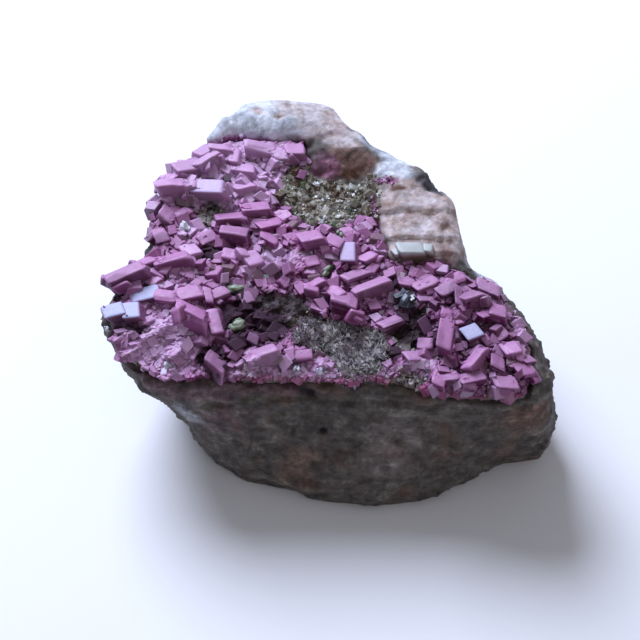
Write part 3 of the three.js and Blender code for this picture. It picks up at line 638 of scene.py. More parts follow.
def cobaltoanCalcite():  # calcite stained by cobalt: glassy cleavage faces; paler at worn edges, partly frosting and partly a painted highlight
    material, tree = newMaterial("cobaltoan calcite")
    where = addNode(tree, "TexCoord").outputs
    place = where["Object"]
    share = {name: addNode(tree, "Attribute", attribute_name=name).outputs["Fac"]
             for name in ("tint", "edge", "milk", "matrix", "gloom", "buried", "polishAndGlint", "deep",
                          "clear", "dusty", "lip")}
    # Painted light and shade by the way each face looks: faces turned up are painted paler, faces
    # turned aside (side) are painted dim
    facing = addNode(tree, "SeparateXYZ", {"Vector": where["Normal"]}).outputs["Z"]
    share["paintedTopLight"] = addNode(tree, "MapRange", {"Value": facing, "From Min": 0.35, "From Max": 0.95})
    share["side"] = addNode(tree, "MapRange", {
        "Value": facing, "From Min": 0.1, "From Max": 0.65, "To Min": 1.0, "To Max": 0.0})
    patches = addNode(tree, "TexNoise", {
        "Vector": place, "Scale": perMetre(1.6), "Detail": 5.0, "Roughness": 0.62})
    tone = addNode(tree, "Mix", {"Factor": 0.5, "A": patches, "B": share["tint"]})
    grains = addNode(tree, "TexVoronoi", {"Vector": place, "Scale": perMetre(0.5)})
    grainTone = addNode(tree, "SeparateColor", {"Color": grains.outputs["Color"]})
    colour = addNode(tree, "ValToRGB", {"Fac": tone}, stops=[
        (0.18, "#440d35"), (0.4, "#701d57"), (0.6, "#8c3074"), (0.82, "#ac609b")])
    bare = addNode(tree, "ValToRGB", {"Fac": grainTone}, stops=[
        (0.1, "#362c26"), (0.4, "#655c52"), (0.7, "#868075"), (0.9, "#ab9fa4")])
    wall = addNode(tree, "ValToRGB", {"Fac": patches}, stops=[
        (0.3, "#302a28"), (0.5, "#564e49"), (0.7, "#7b6f69")])
    layers = (  # the share that each follows, how strong it is at most, and its colour
        # deep: painted shade low down between the crystals
        ("deep", 0.8, "#42102f"), ("side", 0.5, "#4a0c33"), ("paintedTopLight", 0.55, "#cf99c4"),
        # edge: paler worn edges, partly frosting and partly a painted highlight
        ("milk", 0.72, "#d6b6d6"), ("edge", 0.4, "#d29cca"), ("clear", 0.75, "#cfc8da"),
        # polishAndGlint: smooth tops, painted with a pale blue reflection
        ("dusty", 0.65, "#63534a"), ("lip", 0.7, "#8f3460"), ("polishAndGlint", 0.75, "#b4c2e0"),
        # gloom: painted shade, near black, in hollows and under crystals
        ("matrix", 1.0, bare), ("buried", 1.0, wall), ("gloom", 0.93, "#1f0814"),
    )
    for name, most, over in layers:
        amount = addNode(tree, "Math", {0: share[name], 1: most}, operation="MULTIPLY")
        colour = addNode(tree, "Mix", {"Factor": amount, "A": colour, "B": over}, data_type="RGBA")
    roughness = addNode(tree, "MapRange", {
        "Value": patches, "From Min": 0.35, "From Max": 0.65, "To Min": 0.24, "To Max": 0.46})
    for name, most in (("polishAndGlint", 0.36), ("gloom", 0.75)):
        roughness = addNode(tree, "Mix", {"Factor": share[name], "A": roughness, "B": most})
    return finishMaterial(material, {
        "Base Color": colour, "Roughness": roughness, "IOR": 1.6, "Specular IOR Level": 0.2,
        "Normal": fineGrain(tree, place, 0.45, 4.0, 0.72, 0.12, 0.8), "Subsurface Weight": 0.15,
        "Subsurface Radius": (1.0, 0.35, 0.8), "Subsurface Scale": 0.6 * mm})


calcite = cobaltoanCalcite()


def makeCrust():
    mesh = remeshedCopy("calcite_crust", crust["voxel"], crust["smoothing"])
    points, normals = planPoints(mesh), vectorsOf(mesh.vertex_normals, "vector")
    x, y, z = points.T
    shares = crustShares(points)
    border, value, tilt = cellPattern(points, crust["sugarSize"], 81)
    out = crust["sugarDepth"] * (value - 0.6 + 0.9 * tilt) * rising(border, 0, 0.2)
    out += crust["grainDepth"] * layeredNoise(points, crust["grainSize"], 2, 83)
    clean = patchShare(points, [(*place, *crust["cleanReach"], 0) for place in polishedFaces], 0.3)
    out -= crust["cleanDepth"] * clean  # nothing pokes through the polished faces
    moved = points + normals * (out * (1 - 0.6 * shares["buried"]) - crust["inset"])[:, None]
    setPlaces(mesh, fromPlan(moved))
    # Small crystals grow on the crust itself, and leave the large crystals' faces clean
    low = falling(z, topHeight(points) + crust["cleanAbove"], 0.6)
    low *= falling(y, crust["backEdge"], 0.6)
    low *= 1 - clean
    facing = rising(normals[:, 2], -0.1, 0.3) * (1 - shares["buried"]) * low
    onLeft = falling(x, *crust["bladedX"]) * falling(y, *crust["bladedY"])
    rimward = falling(x, *crust["rimX"]) * falling(y, *crust["rimY"])
    bare = shares["matrix"]
    setShares(
        mesh, **shares, tint=value, sugarShare=facing * (1 - 0.85 * bare),
        stubShare=facing * (1 - bare) * (1 - onLeft) * (1 - rimward), bladeShare=facing * onLeft,
        rimShare=facing * rimward, bareShare=facing * bare * (1 - shares["gloom"]) ** 2)
    mesh.materials.append(calcite)
    return mesh


crustMesh = makeCrust()
addPiece("crust_base", crustMesh, "calcite_crust")

# Calcite grows in rhombohedra: skewed blocks, all of whose edges meet at one angle
crystal = {
    "rhombAngle": 101.9, "proudShare": 0.5, "rootDepth": 0.9, "largestRoll": 9.0, "rollStep": 2.4,
    "swell": 0.12,  # each covers its own plain solid by this much
    "unruly": 9.0,  # how far each may turn out of its place, in degrees
    "cells": 12, "smallCells": 6,  # along each side, on large crystals and on those that grow on them
    "mainBlock": 0.93, "growths": (2, 4), "growthSize": (0.6, 1.0), "growthReach": 1.1,
    "breaks": (0, 3), "breakAt": (0.7, 0.88),  # the share of the way out to a corner
    "crooked": 0.07, "waveSize": 1.0, "waveDepth": 0.08, "calmShare": 0.25, "rounding": 3,
    "edgeReach": 0.35, "shareHeight": 22.0,
    "twins": (2, 4), "twinSize": (0.3, 0.6), "twinTurn": 24.0,
    "twinPlaces": ((-1, 0.6), (1, 0.6), (0.6, -1), (0.6, 1), (-0.6, -1), (-0.6, 1)),
    "twinFoot": -0.35, "twinTop": 0.25, "polishedTwinTop": -0.1,
    "milkShare": 0.7, "strayMilk": 0.25,
    "slack": 0.07, "smallEdge": 0.25,
    "gloomOnTop": 0.4,  # the tops of those that stand in a patch of painted shade get less of it
    "catchesLight": (-0.233, -0.02, 0.972),  # polished faces lie this way
    "seed": 11,
}
# The larger ones, placed one by one: x, y, the lengths of three edges, turn, and tip, which is
# negative where the crystal leans back; millimetres and degrees
largeCrystals = [
    (-16.2, 15.2, 2.8, 1.8, 2.2, 46, -6), (-13.6, 15.4, 3, 2.2, 2.8, 6, -20),
    (-11.5, 14.5, 1.3, 3, 2.4, -6, 0), (-8.4, 15.5, 4.2, 2, 2.8, 4, -24),
    (-5.8, 14.7, 2, 2, 2.2, 18, -8), (-3.6, 15.3, 2.8, 2.2, 2.6, -10, -18),
    (-18.1, 12.2, 4.2, 2.2, 2.6, 28, -4), (-15.4, 13, 3.6, 2.4, 3.4, 34, -24),
    (-12.9, 12.4, 1.8, 1.6, 2, -30, 0), (-10.6, 12, 3, 2, 2.8, -6, -20),
    (-7.9, 10.6, 1.8, 1.6, 2, 24, 6), (-20.7, 10, 2.2, 2, 2.2, 50, -8),
    (-19.9, 8.3, 4, 2.8, 4.4, -4, -22), (-14.9, 8.6, 5.2, 2.4, 4.6, -14, -8),
    (-10.2, 8.9, 2.6, 2, 2.6, 20, -20), (-7.6, 8, 2.2, 1.6, 2, -10, 4),
    (-8.8, 5.3, 4, 2.2, 3.2, 6, -22), (-5.3, 5, 1.7, 2, 2.4, 30, 2),
    (-11.9, 3.9, 4, 2.4, 3, -8, -26), (-11.4, 0.9, 3.6, 2.4, 3.4, -6, -20),
    (-6.8, 2.7, 3.2, 2.2, 3.2, 10, -16), (-7.1, 0.1, 2.6, 2.2, 2.8, -14, -20),
    (-4.1, 0.4, 1.9, 1.8, 2.2, 34, -4), (-1.4, -0.2, 3.6, 2.8, 3.8, 6, -18),
    (1.5, -0.6, 2.2, 2.4, 2.8, -30, -10), (-15.2, 1.3, 2.2, 1.8, 2.4, 30, 4),
    (-17.1, -1.2, 1.8, 2.4, 2.2, 14, 0), (-20.4, 4.2, 2.4, 2, 2.6, -18, -16),
    (-21, 1.4, 1.8, 2.2, 2.2, 10, 6), (-18.4, 5, 1.8, 1.5, 1.8, 28, 0),
    (-19.3, -3.2, 4.2, 2.2, 3.8, 10, -22), (-24.8, -5.9, 5.2, 2.2, 4.2, 22, -20),
    (-22.4, -3, 2.6, 1.6, 2.2, 26, -6), (-22.3, -8.2, 4, 2.2, 2.6, 6, 6),
    (-26.1, -11, 2.8, 2.2, 2.8, 8, 4), (-23.8, -11.3, 2.3, 2.6, 2.8, -4, 4),
    (-21.6, -5.9, 1.8, 1.6, 2, 30, 0), (-17.2, -4.8, 2, 1.8, 2.2, -12, -6),
    (-16.9, -8.2, 2.4, 2.2, 2.6, 20, 2), (-19.6, -9, 3, 1.8, 2.4, -8, -10),
    (-16.6, -12.4, 4.2, 3, 4.4, -12, -24), (-13.3, -12.2, 1.6, 3.6, 3, 14, 2),
    (-14.6, -8.4, 1, 3, 2.4, -2, 0), (-13.2, -7.9, 2.2, 2, 2.6, 30, -20),
    (-9.5, -8.3, 1.5, 2, 2.2, 16, -4), (-9.2, -2.9, 2.2, 2.2, 2.8, 18, -6),
    (-11.9, -2, 1.9, 1.7, 2, -20, 0), (-1.4, -3, 1.8, 1.6, 2, 20, 0),
    (-13.5, -18.2, 3, 2, 2.6, -26, -14), (-7.4, -17.4, 4.8, 2, 3, 12, -22),
    (-2.6, -16.8, 2.8, 1.6, 2, -10, -6), (3.6, -1.9, 2, 3.4, 3, -12, 4),
    (6, -2.2, 2.2, 1.8, 2.2, 30, -10), (4.4, -5.2, 4, 1.4, 2.6, 28, -6),
    (6.2, -7.4, 5.2, 1.8, 3.6, 20, -22), (2.9, -10, 3.6, 2.6, 4.2, -18, -24),
    (1.7, -8, 1.8, 2.6, 3.2, 24, 0), (-0.9, -6.8, 2.8, 2, 2.8, 14, -16),
    (1.9, -5.6, 1.6, 1.5, 2, -24, -6), (-0.4, -10, 2, 1.6, 2, -14, -4),
    (8.5, -12, 2.8, 1.6, 2.4, 22, -10), (10.7, -6.2, 1.9, 1.7, 2, -8, -10),
    (13.2, -6.7, 3, 2, 3, 16, -26), (13.2, -8.9, 2.6, 1, 1.6, 8, 0),
    (15.9, -7.6, 2.4, 2, 2.6, 34, 0), (17.2, -5.7, 2, 1.6, 2, 10, -6),
    (17.1, -9.2, 1.1, 3, 3, -6, 0), (18.9, -9.6, 2.8, 3, 3.8, 12, -22),
    (21.2, -7.3, 3, 1.8, 2.2, -22, -8), (21.9, -11.6, 2.6, 2.4, 3, -10, -10),
    (22.4, -14, 1.6, 1.5, 2, 20, 0), (15.5, -14.4, 2.2, 6.4, 3.8, -14, 2),
    (18.8, -14.4, 2.2, 2.4, 3, 16, 4), (19.2, -18.2, 4.2, 1.8, 3.6, 38, -22),
    (18.4, -20.8, 3.2, 1.8, 3, 16, -20), (23.4, -17, 1.9, 2.4, 2.8, 10, -12),
    (15.2, -20.8, 3.4, 2, 3.2, -2, -26), (24.7, -19.3, 2.2, 2.4, 2.2, 24, -4),
    (22.4, -21.2, 2.6, 1.6, 1.8, -10, -8), (11.2, -17.6, 2.6, 1.8, 2, 28, -2),
    (13, -15.6, 1.8, 1.6, 1.9, -20, -10), (20.3, -12, 1.6, 1.6, 2.2, 30, -6),
    (21.4, -18.8, 1.8, 2, 2.6, -14, -16), (3.2, 2.2, 2, 1.5, 1.8, 14, -6),
]


def rhombEdges():
    c, s = (f(math.radians(crystal["rhombAngle"])) for f in (math.cos, math.sin))
    lean = (c - c * c) / s
    return Vector((1, 0, 0)), Vector((c, s, 0)), Vector((c, lean, math.sqrt(1 - c * c - lean * lean)))


edgeU, edgeV, edgeW = rhombEdges()


def threeOf(draw, low, high):
    return [draw.uniform(low, high) for _ in range(3)]


def anyWay(draw):
    return Vector([draw.gauss(0, 1) for _ in range(3)]).normalized()


def anyTurn(draw):
    return Euler(threeOf(draw, 0, 2 * math.pi)).to_matrix().to_4x4()


def turned(degrees, axis="Z"):
    return Matrix.Rotation(math.radians(degrees), 4, axis)


def cornersOf(sides):
    return [[vert.index for vert in side.verts] for side in sides]


def rhombForm(size, draw, bevel=0, chips=0):  # a small crystal round the origin
    bm = bmesh.new()
    edgeHighlight = bm.verts.layers.float.new("edge")
    bmesh.ops.create_cube(bm, size=1)
    slack = crystal["slack"] * min(size)
    for vert in bm.verts:
        u, v, w = (share * length for share, length in zip(vert.co, size))
        vert.co = edgeU * u + edgeV * v + edgeW * w + Vector(threeOf(draw, -slack, slack))
    for _ in range(chips):
        spot = draw.choice([vert.co.copy() for vert in bm.verts])
        across = spot.normalized() + 0.3 * anyWay(draw)
        bmesh.ops.bisect_plane(
            bm, geom=bm.verts[:] + bm.edges[:] + bm.faces[:], clear_outer=True,
            plane_co=spot * draw.uniform(*crystal["breakAt"]), plane_no=across.normalized())
        bmesh.ops.holes_fill(bm, edges=[edge for edge in bm.edges if edge.is_boundary])
        bmesh.ops.recalc_face_normals(bm, faces=bm.faces)
    # Small crystals carry a little of the edge colour all over, partly a painted highlight
    for vert in bm.verts:
        vert[edgeHighlight] = crystal["smallEdge"]
    if bevel:
        bmesh.ops.bevel(bm, geom=bm.edges[:], offset=bevel, segments=2, profile=0.5,
                        affect="EDGES", clamp_overlap=True)
    return bm


def placedForm(bm, place, **shares):
    bm.verts.index_update()
    points, faces = np.array([place @ vert.co for vert in bm.verts]), cornersOf(bm.faces)
    bm.free()
    return {"points": points, "faces": faces, "shares": shares}


def joinedMesh(name, forms, finish):
    faces, first = [], 0
    for form in forms:
        faces += [[first + corner for corner in side] for side in form["faces"]]
        first += len(form["points"])
    points = np.concatenate([form["points"] for form in forms])
    mesh = bpy.data.meshes.new(name)
    mesh.from_pydata(fromPlan(points).tolist(), [], faces)
    setShares(mesh, **{share: np.concatenate(
        [np.broadcast_to(form["shares"][share], len(form["points"])) for form in forms])
        for share in forms[0]["shares"]})
    mesh.materials.append(finish)
    return mesh


def cubeSides(cells):  # a fine cube from -1 to 1: its points, faces and edges
    bm = bmesh.new()
    bmesh.ops.create_cube(bm, size=2)
    bmesh.ops.subdivide_edges(bm, edges=bm.edges[:], cuts=cells - 1, use_grid_fill=True)
    bm.verts.index_update()
    points = np.array([vert.co for vert in bm.verts])
    faces, edges = cornersOf(bm.faces), np.array(cornersOf(bm.edges))
    bm.free()
    return points, faces, edges


# A larger crystal: blocks grown in parallel, less what has broken off, with uneven faces and worn
# edges. A calm one keeps its faces flat and true
def grownCrystal(size, draw, sides, growths, breaks, place, shares, calm=False):
    ways, faces, edges = sides
    reach = np.full(len(ways), crystal["mainBlock"])
    for _ in range(growths):
        half = np.array(threeOf(draw, *crystal["growthSize"]))
        shift = (crystal["growthReach"] - half) * threeOf(draw, -1, 1)
        ends = (half + np.sign(ways) * shift) / np.maximum(np.abs(ways), 1e-6)
        reach = np.maximum(reach, ends.min(axis=1))
    for _ in range(breaks):
        across = np.array([draw.choice((-1, 1)) * draw.uniform(0.3, 1) for _ in range(3)])
        across[draw.randrange(3)] *= draw.choice((0.1, 1))
        limit = draw.uniform(*crystal["breakAt"]) * np.abs(across).sum()
        reach = np.minimum(reach, limit / np.maximum(ways @ across, 1e-6))
    crooked = 0 if calm else crystal["crooked"]
    skew = np.eye(3) + [[draw.gauss(0, crooked) for _ in range(3)] for _ in range(3)]
    points = ways * reach[:, None] * np.array(size) / 2 @ np.array([edgeU, edgeV, edgeW]) @ skew
    outward = points / np.linalg.norm(points, axis=1)[:, None]
    waves = layeredNoise(points + draw.uniform(0, 99), crystal["waveSize"], 3)
    points += outward * ((crystal["calmShare"] if calm else 1) * crystal["waveDepth"] * waves)[:, None]
    worn, neighbours = points.copy(), np.bincount(edges.ravel())[:, None]
    for _ in range(crystal["rounding"]):
        around = np.zeros_like(worn)
        for here, there in (edges.T, edges.T[::-1]):
            np.add.at(around, here, worn[there])
        worn += 0.5 * (around / neighbours - worn)
    cell = np.mean(size) / math.sqrt(len(faces) / 6)
    # How far each point was worn off: it sets the paler edge colour, partly a painted highlight
    edge = np.clip(np.sum((points - worn) * outward, axis=1) / (crystal["edgeReach"] * cell), 0, 1)
    turn = np.array(place)
    return {"points": worn @ turn[:3, :3].T + turn[:3, 3], "faces": faces,
            "shares": {"edge": edge} | shares}


def makeLargeCrystals():
    draw = random.Random(crystal["seed"])
    fine, coarse = cubeSides(crystal["cells"]), cubeSides(crystal["smallCells"])
    large, small = [], []
    spots = np.array([row[:2] + (crystal["shareHeight"],) for row in largeCrystals], float)
    heights, milk = topHeight(spots), crustShares(spots)["milk"]
    for i, (x, y, length, width, height, turn, tip) in enumerate(largeCrystals):
        proud, root = crystal["proudShare"] * height, crystal["rootDepth"]
        roll = crystal["largestRoll"] * math.sin(crystal["rollStep"] * i)
        polished = polishedFaces.get((x, y), 0)
        if polished:
            way = turned(-turn) @ Vector(crystal["catchesLight"])
            roll = math.degrees(math.asin(way.x))
            tip = math.degrees(math.atan2(-way.y, way.z))
        else:
            turn, tip, roll = (angle + draw.uniform(-1, 1) * crystal["unruly"]
                               for angle in (turn, tip, roll))
        place = (Matrix.Translation((x, y, heights[i] + (proud - root) / 2))
                 @ (turned(turn) @ turned(tip, "X") @ turned(roll, "Y")))
        size = np.array([length, width, proud + root]) + 2 * crystal["swell"]
        milky = max(float(milk[i]) * crystal["milkShare"], crystal["strayMilk"] * draw.random())
        # The flat top of a crystal that catches the light: smooth, and painted with a pale blue
        # reflection
        gloss = polished * (fine[0][:, 2] > 0.99)
        growths, breaks = draw.randint(*crystal["growths"]), draw.randint(*crystal["breaks"])
        large.append(grownCrystal(
            size, draw, fine, 0 if polished else growths, 0 if polished else breaks, place,
            {"milk": milky, "tint": draw.random(), "polishAndGlint": gloss}, calm=bool(polished)))
        for _ in range(draw.randint(*crystal["twins"])):
            share = draw.uniform(*crystal["twinSize"])
            twinSize = [share * draw.uniform(0.8, 1.2) * min(edge, 1.5 * min(size)) for edge in size]
            u, v = draw.choice(crystal["twinPlaces"])
            corner = edgeU * 0.5 * u * size[0] + edgeV * 0.5 * v * size[1]
            top = crystal["polishedTwinTop" if polished else "twinTop"]
            corner += edgeW * draw.uniform(crystal["twinFoot"], top) * size[2]
            jitter = Euler([math.radians(draw.gauss(0, crystal["twinTurn"])) for _ in range(3)])
            small.append(grownCrystal(
                twinSize, draw, coarse, 1, draw.randint(0, 1),
                place @ Matrix.Translation(corner) @ jitter.to_matrix().to_4x4(),
                {"milk": milky, "tint": draw.random(), "polishAndGlint": 0.0}))
    for name, forms in (("large_crystals", large), ("intergrown_crystals", small)):
        mesh = joinedMesh(name, forms, calcite)
        around = crustShares(planPoints(mesh))
        # Painted shade low down between the crystals
        deep = around["deep"]
        low = deep + crystal["gloomOnTop"] * (1 - deep)
        # Painted shade patches, weaker on the crystals' tops
        setShares(mesh, deep=deep, gloom=around["gloom"] * low)
        mesh.shade_smooth()
        addPiece(name, mesh)


makeLargeCrystals()

# Small forms that are scattered: each is one unit across and has a few dozen faces at most
def formsOf(name, count, grow):
    collection, draw = bpy.data.collections.new(name), random.Random(name)
    for i in range(count):
        form = f"{name}_{i}"
        collection.objects.link(bpy.data.objects.new(form, meshOf(grow(draw), form)))
    return collection


def stubbyRhomb(draw):
    return rhombForm(threeOf(draw, 0.7, 1.15), draw, bevel=0.09, chips=draw.randint(0, 1))


def sugarGrain(draw):  # too small for its edges to show
    return rhombForm(threeOf(draw, 0.7, 1.15), draw, chips=draw.randint(0, 1))


def thinPlate(draw):
    size = (draw.uniform(0.9, 1.5), draw.uniform(0.7, 1.0), draw.uniform(0.28, 0.42))
    return rhombForm(size, draw, bevel=0.06, chips=draw.randint(0, 1))


def roughGrain(draw):
    bm = bmesh.new()
    for _ in range(11):
        bm.verts.new(anyWay(draw) * draw.uniform(0.42, 0.55))
    bmesh.ops.convex_hull(bm, input=bm.verts)
    return bm


def needleTuft(draw):  # a few slender crystals from one root
    bm = bmesh.new()
    for _ in range(3):
        lean = Euler((draw.gauss(0, 0.5), draw.gauss(0, 0.5), 0)).to_matrix().to_4x4()
        length = draw.uniform(0.7, 1.1)
        bmesh.ops.create_cone(
            bm, cap_ends=True, segments=5, radius1=0.14, radius2=0.05, depth=length,
            matrix=lean @ Matrix.Translation((0, 0, length / 2)))
    return bm


def scatterTree():
    tree = bpy.data.node_groups.new("scatter grains", "GeometryNodeTree")
    kinds = {"Surface": "Geometry", "Share Name": "String", "Grains": "Collection",
             "Finish": "Material", "Seed": "Int"}
    for name in ("Surface", "Share Name", "Grains", "Finish", "Per Square Metre", "Spacing",
                 "Smallest", "Largest", "Small Bias", "Upright", "Tumble", "Spin From", "Spin To",
                 "Seed"):
        kind = "NodeSocket" + kinds.get(name, "Float")
        tree.interface.new_socket(name, in_out="INPUT", socket_type=kind)
    tree.interface.new_socket("Grains", in_out="OUTPUT", socket_type="NodeSocketGeometry")
    given = tree.nodes.new("NodeGroupInput").outputs
    share = addNode(tree, "GeometryNodeInputNamedAttribute", {"Name": given["Share Name"]})
    points = addNode(tree, "GeometryNodeDistributePointsOnFaces", {
        "Mesh": given["Surface"], "Distance Min": given["Spacing"], "Seed": given["Seed"],
        "Density Max": given["Per Square Metre"], "Density Factor": share},
        distribute_method="POISSON")
    drawn = []
    for offset in range(5):
        seed = addNode(tree, "Math", {0: given["Seed"], 1: 10.0 + offset}, operation="ADD")
        drawn.append(addNode(tree, "FunctionNodeRandomValue", {"Seed": seed}, data_type="FLOAT"))
    lean = addNode(tree, "Math", {0: given["Tumble"], 1: -1.0}, operation="MULTIPLY")
    tips = [addNode(tree, "MapRange", {
        "Value": drawn[i], "To Min": lean, "To Max": given["Tumble"]}) for i in (0, 1)]
    spin = addNode(tree, "MapRange", {
        "Value": drawn[2], "To Min": given["Spin From"], "To Max": given["Spin To"]})
    turn = addNode(tree, "CombineXYZ", {"X": tips[0], "Y": tips[1], "Z": spin})
    rotation = addNode(tree, "FunctionNodeEulerToRotation", {"Euler": turn})
    upright = addNode(tree, "FunctionNodeAlignRotationToVector", {
        "Rotation": rotation, "Factor": given["Upright"], "Vector": points.outputs["Normal"]},
        axis="Z")
    biased = addNode(tree, "Math", {0: drawn[3], 1: given["Small Bias"]}, operation="POWER")
    size = addNode(tree, "MapRange", {
        "Value": biased, "To Min": given["Smallest"], "To Max": given["Largest"]})
    forms = addNode(tree, "GeometryNodeCollectionInfo", {
        "Collection": given["Grains"], "Separate Children": True, "Reset Children": True})
    which = addNode(tree, "FunctionNodeRandomValue", {
        "Min": 0, "Max": 99, "Seed": given["Seed"]}, data_type="INT")
    grains = addNode(tree, "GeometryNodeInstanceOnPoints", {
        "Points": points, "Instance": forms, "Pick Instance": True, "Instance Index": which,
        "Rotation": upright, "Scale": size})
    tinted = addNode(tree, "GeometryNodeStoreNamedAttribute", {
        "Geometry": grains, "Name": "tint", "Value": drawn[4]}, data_type="FLOAT", domain="INSTANCE")
    real = addNode(tree, "GeometryNodeRealizeInstances", {"Geometry": tinted})
    finished = addNode(tree, "GeometryNodeSetMaterial", {
        "Geometry": real, "Material": given["Finish"]})
    addNode(tree, "NodeGroupOutput", {0: finished})
    return tree


grainTree = scatterTree()


def scatterOver(surface, name, finish, forms, recipe):
    work = addObject(name + "_work", surface.copy())
    layer = work.modifiers.new("scatter", "NODES")
    layer.node_group = grainTree
    spin = recipe.get("spin", (0, 360))
    values = {
        "Share Name": recipe["share"], "Grains": forms, "Finish": finish, "Seed": recipe["seed"],
        "Per Square Metre": recipe["density"] / mm ** 2, "Spacing": recipe["spacing"] * mm,
        "Smallest": recipe["smallest"] * mm, "Largest": recipe["largest"] * mm,
        "Small Bias": recipe.get("bias", 1.6), "Upright": recipe["upright"],
        "Tumble": math.radians(recipe["tumble"]),
        "Spin From": math.radians(spin[0]), "Spin To": math.radians(spin[1]),
    }
    for item in grainTree.interface.items_tree:
        if item.in_out == "INPUT" and item.name in values:
            layer[item.identifier] = values[item.name]
    mesh = plainMesh(work, name)
    print("scattered", name, len(mesh.polygons), "faces")
    return mesh


stubs, plates = formsOf("stub", 5, stubbyRhomb), formsOf("plate", 5, thinPlate)
sugar = formsOf("sugar", 6, sugarGrain)
grains, needles = formsOf("grain", 6, roughGrain), formsOf("needle", 5, needleTuft)
smallCalcite = {  # the density is in grains to a square millimetre, the sizes are in millimetres
    "small_crystals": (crustMesh, stubs, dict(
        share="stubShare", density=1.5, spacing=0.55, smallest=0.6, largest=2.1, bias=1.7, seed=3,
        upright=0.5, tumble=40, clear=0.4, extraLowShade=0.3)),
    "crystal_sugar": (crustMesh, sugar, dict(
        share="sugarShare", density=5.0, spacing=0.22, smallest=0.2, largest=0.65, seed=5,
        upright=0.4, tumble=60, extraLowShade=0.3)),
    # The bladed crystals are lifted paler as painted light
    "bladed_crystals": (crustMesh, plates, dict(
        share="bladeShare", density=3.6, spacing=0.32, smallest=0.45, largest=1.5, seed=7,
        upright=0.4, tumble=40, spin=(0, 80), deep=0.2, clear=0.3, dusty=0.2, paintedLightLift=0.9)),
    "rim_crystals": (crustMesh, stubs, dict(
        share="rimShare", density=4.5, spacing=0.28, smallest=0.3, largest=1.1, bias=1.9, seed=13,
        upright=0.4, tumble=50, deep=0.3)),
    "fringe_crystals": (rockMesh, stubs, dict(
        share="fringe", density=1.6, spacing=0.4, smallest=0.35, largest=1.4, bias=1.8, seed=15,
        upright=0.5, tumble=50, clear=0.5)),
    "vein_crystals": (rockMesh, sugar, dict(
        share="pink", density=6.0, spacing=0.2, smallest=0.2, largest=0.55, seed=17, upright=0.4,
        tumble=60)),
}
for name, (surface, forms, recipe) in smallCalcite.items():
    mesh = scatterOver(surface, name, calcite, forms, recipe)
    tint = np.zeros(len(mesh.vertices), np.float32)
    mesh.attributes["tint"].data.foreach_get("value", tint)
    shares = crustShares(planPoints(mesh))
    colourless = rising(tint, 0.86, 0.06) * (1 - shares["gloom"])
    # Painted shade low between the crystals, with extra on small crystals outside the milky patches
    deep = recipe.get("deep", 1) * shares["deep"]
    deep += recipe.get("extraLowShade", 0) * (1 - shares["milk"]) * (1 - deep)
    setShares(
        mesh, clear=recipe.get("clear", 1) * colourless, deep=deep,
        dusty=recipe.get("dusty", 1) * falling(tint, 0.1, 0.04),
        # paintedLightLift lifts the tone paler: painted light
        tint=tint + recipe.get("paintedLightLift", 0) * (1 - tint))
    addPiece(name, mesh)

# Grains that aren't calcite: quartz sand in the bay and on bare patches, and green druse
def grainFinish(name, stops, roughness, ior, stain=None):
    material, tree = newMaterial(name)
    place = addNode(tree, "TexCoord").outputs["Object"]
    tint = addNode(tree, "Attribute", attribute_name="tint").outputs["Fac"]
    clouds = addNode(tree, "TexNoise", {
        "Vector": place, "Scale": perMetre(1.2), "Detail": 4.0, "Roughness": 0.6})
    tone = addNode(tree, "Mix", {"Factor": 0.6, "A": clouds, "B": tint})
    colour = addNode(tree, "ValToRGB", {"Fac": tone}, stops=stops)
    if stain:
        broad = addNode(tree, "TexNoise", {
            "Vector": place, "Scale": perMetre(3.2), "Detail": 3.0, "Roughness": 0.55})
        reach = addNode(tree, "MapRange", {
            "Value": broad, "From Min": 0.46, "From Max": 0.6, "To Max": 0.75})
        colour = addNode(tree, "Mix", {"Factor": reach, "A": colour, "B": stain}, data_type="RGBA")
    sheen = addNode(tree, "MapRange", {
        "Value": clouds, "To Min": roughness[0], "To Max": roughness[1]})
    return finishMaterial(material, {
        "Base Color": colour, "Roughness": sheen, "IOR": ior,
        "Normal": fineGrain(tree, place, 0.15, 2.0, 0.5, 0.03, 0.5)})


# Quartz and dolomite sand, stained buff and grey-green, with glassy broken faces
quartzSand = grainFinish("quartz and dolomite grains", [
    (0.15, "#43372b"), (0.32, "#6a6252"), (0.5, "#838171"), (0.68, "#a2a193"), (0.84, "#dde2e4")],
    (0.15, 0.5), 1.55, stain="#5a3f2c")
# Fibrous malachite druse, dusted grey: silky and dull, nearly black in its depths
greenDruse = grainFinish("malachite druse", [
    (0.15, "#201c20"), (0.32, "#686364"), (0.5, "#9b9893"), (0.75, "#c6c3be")], (0.5, 0.8), 1.65,
    stain="#7c6474")
# Massive malachite in small rounded growths: pale on the tops of its knobs as painted light, dark
# green lower down and between knobs as painted shade
malachite = grainFinish("botryoidal malachite", [
    (0.15, "#1d2820"), (0.36, "#414c3a"), (0.55, "#6f7a62"), (0.75, "#9aa38b")], (0.35, 0.6), 1.65)
# Cobalt and copper oxide: black with a metal-like lustre on its small faces; its palest blue-grey
# grains are painted glints
darkOre = grainFinish("black heterogenite", [
    (0.2, "#121218"), (0.5, "#24252f"), (0.72, "#4a4f5e"), (0.85, "#8f98aa")], (0.25, 0.45), 1.8)
# Colourless quartz: small glassy points that flash white; their near-white colour is a painted glint
clearQuartz = grainFinish("clear quartz", [(0.3, "#aab4be"), (0.7, "#e9eef2")], (0.05, 0.12), 1.55)
# Dark malachite in tiny crusts, nearly black
darkGreen = grainFinish("dark malachite", [(0.25, "#141a16"), (0.5, "#2f3f30"), (0.75, "#5c6b50")],
                        (0.3, 0.6), 1.65)
